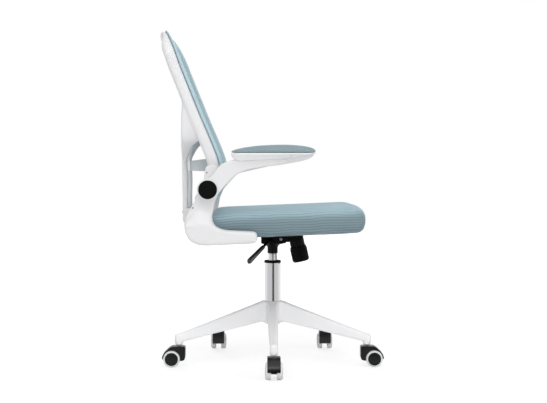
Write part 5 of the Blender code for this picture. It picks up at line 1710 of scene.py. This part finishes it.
@dataclass
class Back:
    """Forked back frame with the stretched mesh, its padded rim and the lumbar bar."""

    half_width: float = 225.0
    bottom: float = 100.0
    top: float = 620.0
    top_corner: float = 78.0
    bottom_corner: float = 52.0
    wrap: float = 22.0
    rim_width: float = 26.0
    rim_thickness: float = 13.0
    rim_top: float = 8.0
    rim_set_in: float = 3.2
    frame_depth: float = 32.0
    frame_top: float = 15.0
    spine: float = -284.0
    strut_width: float = 26.0
    bracket_face: float = 247.6
    net_depth: Point = (2.0, 2.9)
    lumbar_height: float = 228.0
    lumbar_thickness: float = 7.0
    lumbar_half: float = 127.0
    lumbar_ramp: float = 0.38
    lumbar_start: float = 21.3
    profile: tuple[Point, ...] = ((100, -199), (134, -173), (185, -156), (230, -153.5), (271, -164),
                                  (386, -207), (620, -290))

    def face(self, y: float, z: float) -> float:
        """Place along X of the mesh's front face."""
        return smooth_curve(self.profile, z) - self.wrap * (1 - (y / self.half_width) ** 2)

    def point(self, y: float, z: float, depth: float) -> Vector:
        """Find a point behind the mesh's front face.

        Args:
            y: Place across the back.
            z: Height.
            depth: Distance behind the face, square to it.

        Returns:
            The point.
        """
        lean = (self.face(y, z + 1) - self.face(y, z - 1)) / 2
        turn = (self.face(y + 1, z) - self.face(y - 1, z)) / 2
        return Vector((self.face(y, z), y, z)) - Vector((1, -turn, -lean)).normalized() * depth

    def loop(self, distance: float) -> list[Point]:
        """Draw the back's outline from the front.

        Args:
            distance: How far it is moved in.

        Returns:
            Its (y, z) points.
        """
        right = self.right(distance)
        (low_y, low_z), (top_y, top_z) = right[0], right[-1]
        rail = np.linspace(1, -1, 22)[1:-1]
        return (right + [(top_y * f, top_z) for f in rail] + [(-y, z) for y, z in right[::-1]]
                + [(low_y * f, low_z) for f in rail[::-1]])

    def right(self, distance: float) -> list[Point]:
        """Draw one half of that outline, bottom to top.

        Args:
            distance: How far it is moved in.

        Returns:
            Its (y, z) points.
        """
        half, low, high = self.half_width - distance, self.bottom + distance, self.top - distance
        top, bottom = max(self.top_corner - distance, 8), max(self.bottom_corner - distance, 8)
        return (arc(half - bottom, low + bottom, bottom, 270, 360, 12)
                + [(half, mix(low + bottom, high - top, i / 44)) for i in range(1, 44)]
                + arc(half - top, high - top, top, 0, 90, 16))

    def thin(self, z: float, full: float, at_top: float) -> float:
        """Depth of a rim that thins towards the top rail."""
        return mix(full, at_top, (z - self.top + self.top_corner + 20) / (self.top_corner + 5))

    def build(self, screws: Fasteners, stitches: StitchLine) -> None:
        """Make the frame, rim, net and lumbar bar.

        Args:
            screws: Maker of the crossbar's screws.
            stitches: Maker of the rim's stitches.
        """
        self.moulded_frame()
        self.rim(stitches)
        self.net()
        self.lumbar()
        rearward = Vector((-1, 0, 0))
        spots = [(SEAT_FRAME @ Vector((self.spine + 0.9, y, z)), rearward)
                 for y in (-110, 110) for z in (76, 95)]
        screws.set_on("crossbar_screws", "seat", spots, 0.0045)

    def ring_rows(self, section: Callable[[float], Sequence[Point]]) -> list[list[Vector]]:
        """Rows of a rail round the back.

        Args:
            section: Gives (inset, depth) points for a height.

        Returns:
            One row of points for each place round the loop.
        """
        cache: dict[float, list[Point]] = {}
        rows = []
        for i, (_, z) in enumerate(self.loop(0)):
            row = []
            for distance, depth in section(z):
                loop = cache.setdefault(round(distance, 3), self.loop(distance))
                row.append(self.point(*loop[i], depth))
            rows.append(row)
        return rows

    def moulded_frame(self) -> None:
        """Melt rail, struts, crossbar and ears into one moulding."""
        bm = bmesh.new()

        def rail(z: float) -> list[Point]:
            """Draw the rail's rounded section.

            Args:
                z: Height.

            Returns:
                (inset, depth) points.
            """
            near = self.thin(z, self.rim_thickness, self.rim_top) + 0.3
            deep = mix(self.frame_depth, self.frame_top, eased((z - self.top + 38) / 34))
            shares = soften(((0, 0), (0, 1), (1, 1), (1, 0)), 0.46, 4)
            return [(round(self.rim_width * a, 2), near + deep * b) for a, b in shares]
        loft(bm, self.ring_rows(rail), closed=True)
        spine = self.spine
        stations = ((65, 110, spine, 16), (130, 113, spine + 2, 16), (192, 117, spine + 4, 17),
                    (246, 121, spine + 6, 15), (272, 150, spine + 7, 23), (292, 184, spine + 9, 33),
                    (316, 207, spine + 11, 56), (366, 211, spine + 14, 40), (428, 211, spine + 20, 13))
        rows = flowing(stations, 6)
        for sign in (-1, 1):
            sections = []
            for i, (z, y, rear, deep) in enumerate(rows):
                before, after = rows[max(i - 1, 0)], rows[min(i + 1, len(rows) - 1)]
                run = Vector((after[1] - before[1], after[0] - before[0])).normalized()
                across = Vector((run.y, -run.x)) * self.strut_width / 2
                front = rear + deep
                ring = ((-1, rear + 5), (-0.85, rear + 1.4), (-0.6, rear), (0.6, rear), (0.85, rear + 1.4),
                        (1, rear + 5), (1, front - 5), (0.85, front - 1.4), (0.6, front), (-0.6, front),
                        (-0.85, front - 1.4), (-1, front - 5))
                sections.append([(x, sign * (y + across.x * u), z + across.y * u) for u, x in ring])
            loft(bm, sections)
            ear = soften(((-203, 190), (-183, 190), (-182, 224), (-197, 224)), 4, 3)
            slab(bm, ear, self.half_width - self.rim_width + 8, self.bracket_face, 1.2, sign)
        bar = []
        for k in range(61):
            share = -1 + k / 30
            bend = eased((abs(share) - 0.44) / 0.56)
            x, low, tall = spine + 1.2 + 32 * bend, 63 + 8 * bend, 44 - 8 * bend
            line = soften(((x, low), (x + 15, low), (x + 15, low + tall), (x, low + tall)), 5.5, 4)
            bar.append([(a, share * self.bracket_face, b) for a, b in line])
        loft(bm, bar)
        piece = fuse(drafted(bm, "back_moulding", SEAT_FRAME), 0.0023, 9)
        settle(piece, WHITE, "seat", "back_frame")

    def rim(self, stitches: StitchLine) -> None:
        """Loft the padded rim that the mesh is sewn to.

        Args:
            stitches: Maker of its stitches.
        """
        def section(z: float) -> list[Point]:
            """Draw the rim's rolled section.

            Args:
                z: Height.

            Returns:
                (inset, depth) points.
            """
            deep = self.thin(z, self.rim_thickness, self.rim_top)
            w, set_in = self.rim_width, self.rim_set_in
            line = ((2.4, deep - 0.2), (0.5, deep * 0.84), (0, deep * 0.6), (0.8, set_in + deep * 0.12),
                    (3.6, set_in + 0.5), (9.0, set_in + 0.1), (15.0, set_in + 0.3), (20.0, set_in + 0.9),
                    (w - 0.6, set_in + 2.0), (w, deep - 2.2), (w, deep - 1.2), (w - 1, deep - 0.3))
            return [(round(a, 2), b) for a, b in soften(line, 3.0, 2)]
        piece = drafted(loft(bmesh.new(), self.ring_rows(section), closed=True), "mesh_rim", SEAT_FRAME)
        smooth_faces(piece, 60.0)
        weave_map(piece, SEAT_FRAME)
        settle(piece, RIM_FABRIC, "seat", "back_mesh")
        seam = [SEAT_FRAME @ self.point(y, z, self.rim_set_in + 0.8) for y, z in self.loop(20.5)]
        stitches.sew("rim_stitches", "seat", seam)

    def net(self) -> None:
        """Stretch the mesh across the rim as a thin sheet."""
        distance = self.rim_width - 1.6
        front, rear = (self.rim_set_in + depth for depth in self.net_depth)
        right = self.right(distance)
        bm = bmesh.new()
        layers = []
        for depth in (front, rear):
            rows = []
            for y, z in right:
                rows.append([bm.verts.new(self.point(y * f, z, depth)) for f in np.linspace(1, -1, 41)])
            layers.append(rows)
        for rows in layers:
            for a, b in zip(rows, rows[1:]):
                for i in range(len(a) - 1):
                    bm.faces.new((a[i], a[i + 1], b[i + 1], b[i]))
        loops = [[r[0] for r in rows] + rows[-1][1:] + [r[-1] for r in rows[-2::-1]] + rows[0][-2:0:-1]
                 for rows in layers]
        for i in range(len(loops[0])):
            j = (i + 1) % len(loops[0])
            bm.faces.new((loops[0][i], loops[0][j], loops[1][j], loops[1][i]))
        piece = drafted(bm, "back_net", SEAT_FRAME)
        self.net_map(piece)
        piece.data.shade_smooth()
        settle(piece, NET, "seat", "back_mesh")
        middle = [self.point(0, z, front) for _, z in right]

    def net_map(self, piece: bpy.types.Object) -> None:
        """Lay the weave across the net: along Y, and up its height.

        Args:
            piece: The net.
        """
        layer = piece.data.uv_layers.new(name="weave")
        for loop in piece.data.loops:
            at = piece.data.vertices[loop.vertex_index].co
            layer.data[loop.index].uv = (at.y, at.z * 1.06)

    def lumbar(self) -> None:
        """Loft the bowed lumbar bar with round edges."""
        z0, thick = self.lumbar_height, self.lumbar_thickness
        start = self.spine + self.lumbar_start
        crest = self.point(0, z0, self.rim_set_in + self.net_depth[1]).x - thick - 2.0
        sections = []
        for i in range(65):
            share = -1 + i / 32
            bow = eased((1 - abs(share)) / self.lumbar_ramp)
            x, tall = mix(start, crest, bow), 14 + 6 * bow
            line = ((x, z0 - tall), (x + thick, z0 - tall), (x + thick, z0 + tall), (x, z0 + tall))
            sections.append([(a, share * self.lumbar_half, b) for a, b in soften(line, 3.2, 4)])
        # The lumbar bar takes the white painted lighter against the shade behind the net.
        finished(loft(bmesh.new(), sections), "lumbar_bow", SEAT_FRAME, SOFT_CREASE, WHITE_PAINTED_LIGHTER, "seat",
                 "lumbar_bar")


def dress_node(node: str, finish: Finish) -> None:
    """Give a CAD node that stays in sight its finish.

    Args:
        node: CAD node.
        finish: Its surface.
    """
    mesh = frame["nodes"][node].data
    mesh.materials.clear()
    mesh.materials.append(finish.material())
    LOG.info("%s: dressed as %s", node, finish.name)


@dataclass
class Studio:
    """White floor, soft lamps and the camera at the photograph's angle."""

    eye: tuple[float, float, float] = (-0.045, -3.7, 0.616)
    aim: tuple[float, float, float] = (0.0027, 0.0, 0.4825)
    lens: float = 81.15
    sensor: float = 36.0
    floor_half: float = 9.0
    surround: float = 0.44
    mirrored: float = 0.68
    flag: float = 0.05

    def build(self) -> None:
        """Set the colours up plainly and make floor, world, lamps and camera."""
        scene = bpy.context.scene
        scene.view_settings.view_transform = "Standard"
        self.floor()
        self.world()
        self.lamp("lamp_over", (0.4, -0.7, 3.6), (0, 0, 0.5), 3.0, 16.0)
        self.lamp("lamp_key", (-0.5, -5.5, 5.4), (0, 0, 0.3), 4.0, 165.0)
        for name, at, size, power in (("lamp_front", (2.6, -2.0, 1.9), 1.8, 22.0),
                                      ("lamp_near", (-0.5, -4.2, 0.7), 2.4, 26.0),
                                      ("lamp_rear", (-1.2, 5.0, 3.0), 3.5, 110.0)):
            self.lamp(name, at, (0, 0, 0.4), size, power).visible_glossy = False
        camera = bpy.data.cameras.new("photo_camera")
        camera.lens, camera.sensor_width = self.lens, self.sensor
        scene.camera = self.stood("photo_camera", camera, self.eye, self.aim)

    def stood(self, name: str, data: bpy.types.ID, at: Sequence[float],
              aim: Sequence[float]) -> bpy.types.Object:
        """Stand a lamp or the camera at a place.

        Args:
            name: Its name.
            data: Its light or camera.
            at: The place.
            aim: Point that it faces.

        Returns:
            The object.
        """
        holder = placed(name, data)
        holder.location = at
        holder.rotation_euler = (Vector(aim) - Vector(at)).to_track_quat("-Z", "Y").to_euler()
        return holder

    def floor(self) -> None:
        """Lay a pale floor that reads white away from the chair and keeps its shadow."""
        bm = bmesh.new()
        h = self.floor_half
        loft(bm, [[(x, y, z) for x, y in ((-h, -h), (h, -h), (h, h), (-h, h))] for z in (-0.02, 0.0)])
        floor = drafted(bm, "studio_floor", Matrix.Identity(4))
        material = bpy.data.materials.new("floor_white")
        sketch = NodeSketch(material)
        path, place = sketch.add("LightPath"), sketch.place()
        seen, mirrored = path.outputs["Is Camera Ray"], path.outputs["Is Glossy Ray"]
        away = sketch.add("VectorMath", {0: place}, operation="LENGTH").outputs["Value"]
        glow = sketch.math("MULTIPLY", seen, sketch.span(away, 0.74, 1.0, 0.55, 1.7))
        parts = sketch.add("SeparateXYZ", {0: place})
        mirror = sketch.math("MULTIPLY", mirrored, self.reflected(sketch, parts.outputs[0], parts.outputs[1]))
        plain = sketch.tint(seen, (0.90, 0.90, 0.90), (0.34, 0.34, 0.34))
        sketch.feed(sketch.shader, {
            "Base Color": sketch.tint(mirrored, plain, (0.0, 0.0, 0.0)), "Roughness": 0.9,
            "Specular IOR Level": 0.0, "Emission Color": (1, 1, 1, 1),
            "Emission Strength": sketch.math("ADD", glow, mirror)})
        floor.data.materials.append(material)

    def reflected(self, sketch: NodeSketch, x: bpy.types.NodeSocket,
                  y: bpy.types.NodeSocket) -> bpy.types.NodeSocket:
        """Level that reflections meet towards a plan direction: dimmer on one side, with a dark strip there.

        Args:
            sketch: Material or world under way.
            x: Direction's part along X.
            y: Direction's part along Y.

        Returns:
            The level's socket.
        """
        bearing = sketch.math("ARCTAN2", x, sketch.math("MULTIPLY", y, -1.0))
        broad = sketch.span(sketch.math("ABSOLUTE", bearing), self.mirrored, 1.0, 0.95, 2.1)
        off = sketch.math("ABSOLUTE", sketch.math("SUBTRACT", bearing, 0.13))
        return sketch.math("MULTIPLY", broad, sketch.span(off, self.flag, 1.0, 0.12, 0.32))

    def world(self) -> None:
        """Even white surroundings, dimmer on one side in reflections, with a dark strip there."""
        world = bpy.data.worlds.new("studio_white")
        bpy.context.scene.world = world
        sketch = NodeSketch(world, "Background")
        path = sketch.add("LightPath")
        toward = sketch.add("SeparateXYZ", {0: sketch.add("TexCoord").outputs["Generated"]})
        x, y, z = toward.outputs
        mirror = sketch.math("MAXIMUM", self.reflected(sketch, x, y), sketch.span(z, 0.0, 1.0, 0.35, 0.75))
        level = sketch.add("Mix", {0: path.outputs["Is Glossy Ray"], 2: self.surround, 3: mirror}).outputs[0]
        shown = sketch.add("Mix", {0: path.outputs["Is Camera Ray"], 2: level, 3: 1.0}).outputs[0]
        sketch.feed(sketch.shader, {"Color": (1, 1, 1, 1), "Strength": shown})

    def lamp(self, name: str, at: Sequence[float], aim: Sequence[float], size: float,
             power: float) -> bpy.types.Object:
        """Hang a soft square lamp.

        Args:
            name: Lamp's name.
            at: Its place.
            aim: Point that it faces.
            size: Its side in metres.
            power: Its power in watts.

        Returns:
            The lamp.
        """
        data = bpy.data.lights.new(name, "AREA")
        data.size, data.energy = size, power
        return self.stood(name, data, at, aim)


def main() -> None:
    """Build the chair's sub-assemblies in order."""
    logging.basicConfig(level=logging.INFO, format="%(name)s %(message)s")
    screws = Fasteners()
    stitches = StitchLine(RIM_FABRIC)
    Studio().build()
    StarBase().build()
    for place in CasterPlace:
        Caster(place).build()
    GasLift().build()
    Mechanism().build(screws)
    HeightLever().build()
    Seat().build(screws, stitches)
    for side in Side:
        SideBracket(side).build(screws)
        FlipArm(side).build(screws)
    Back().build(screws, stitches)
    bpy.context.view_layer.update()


if __name__ == "__main__":
    main()
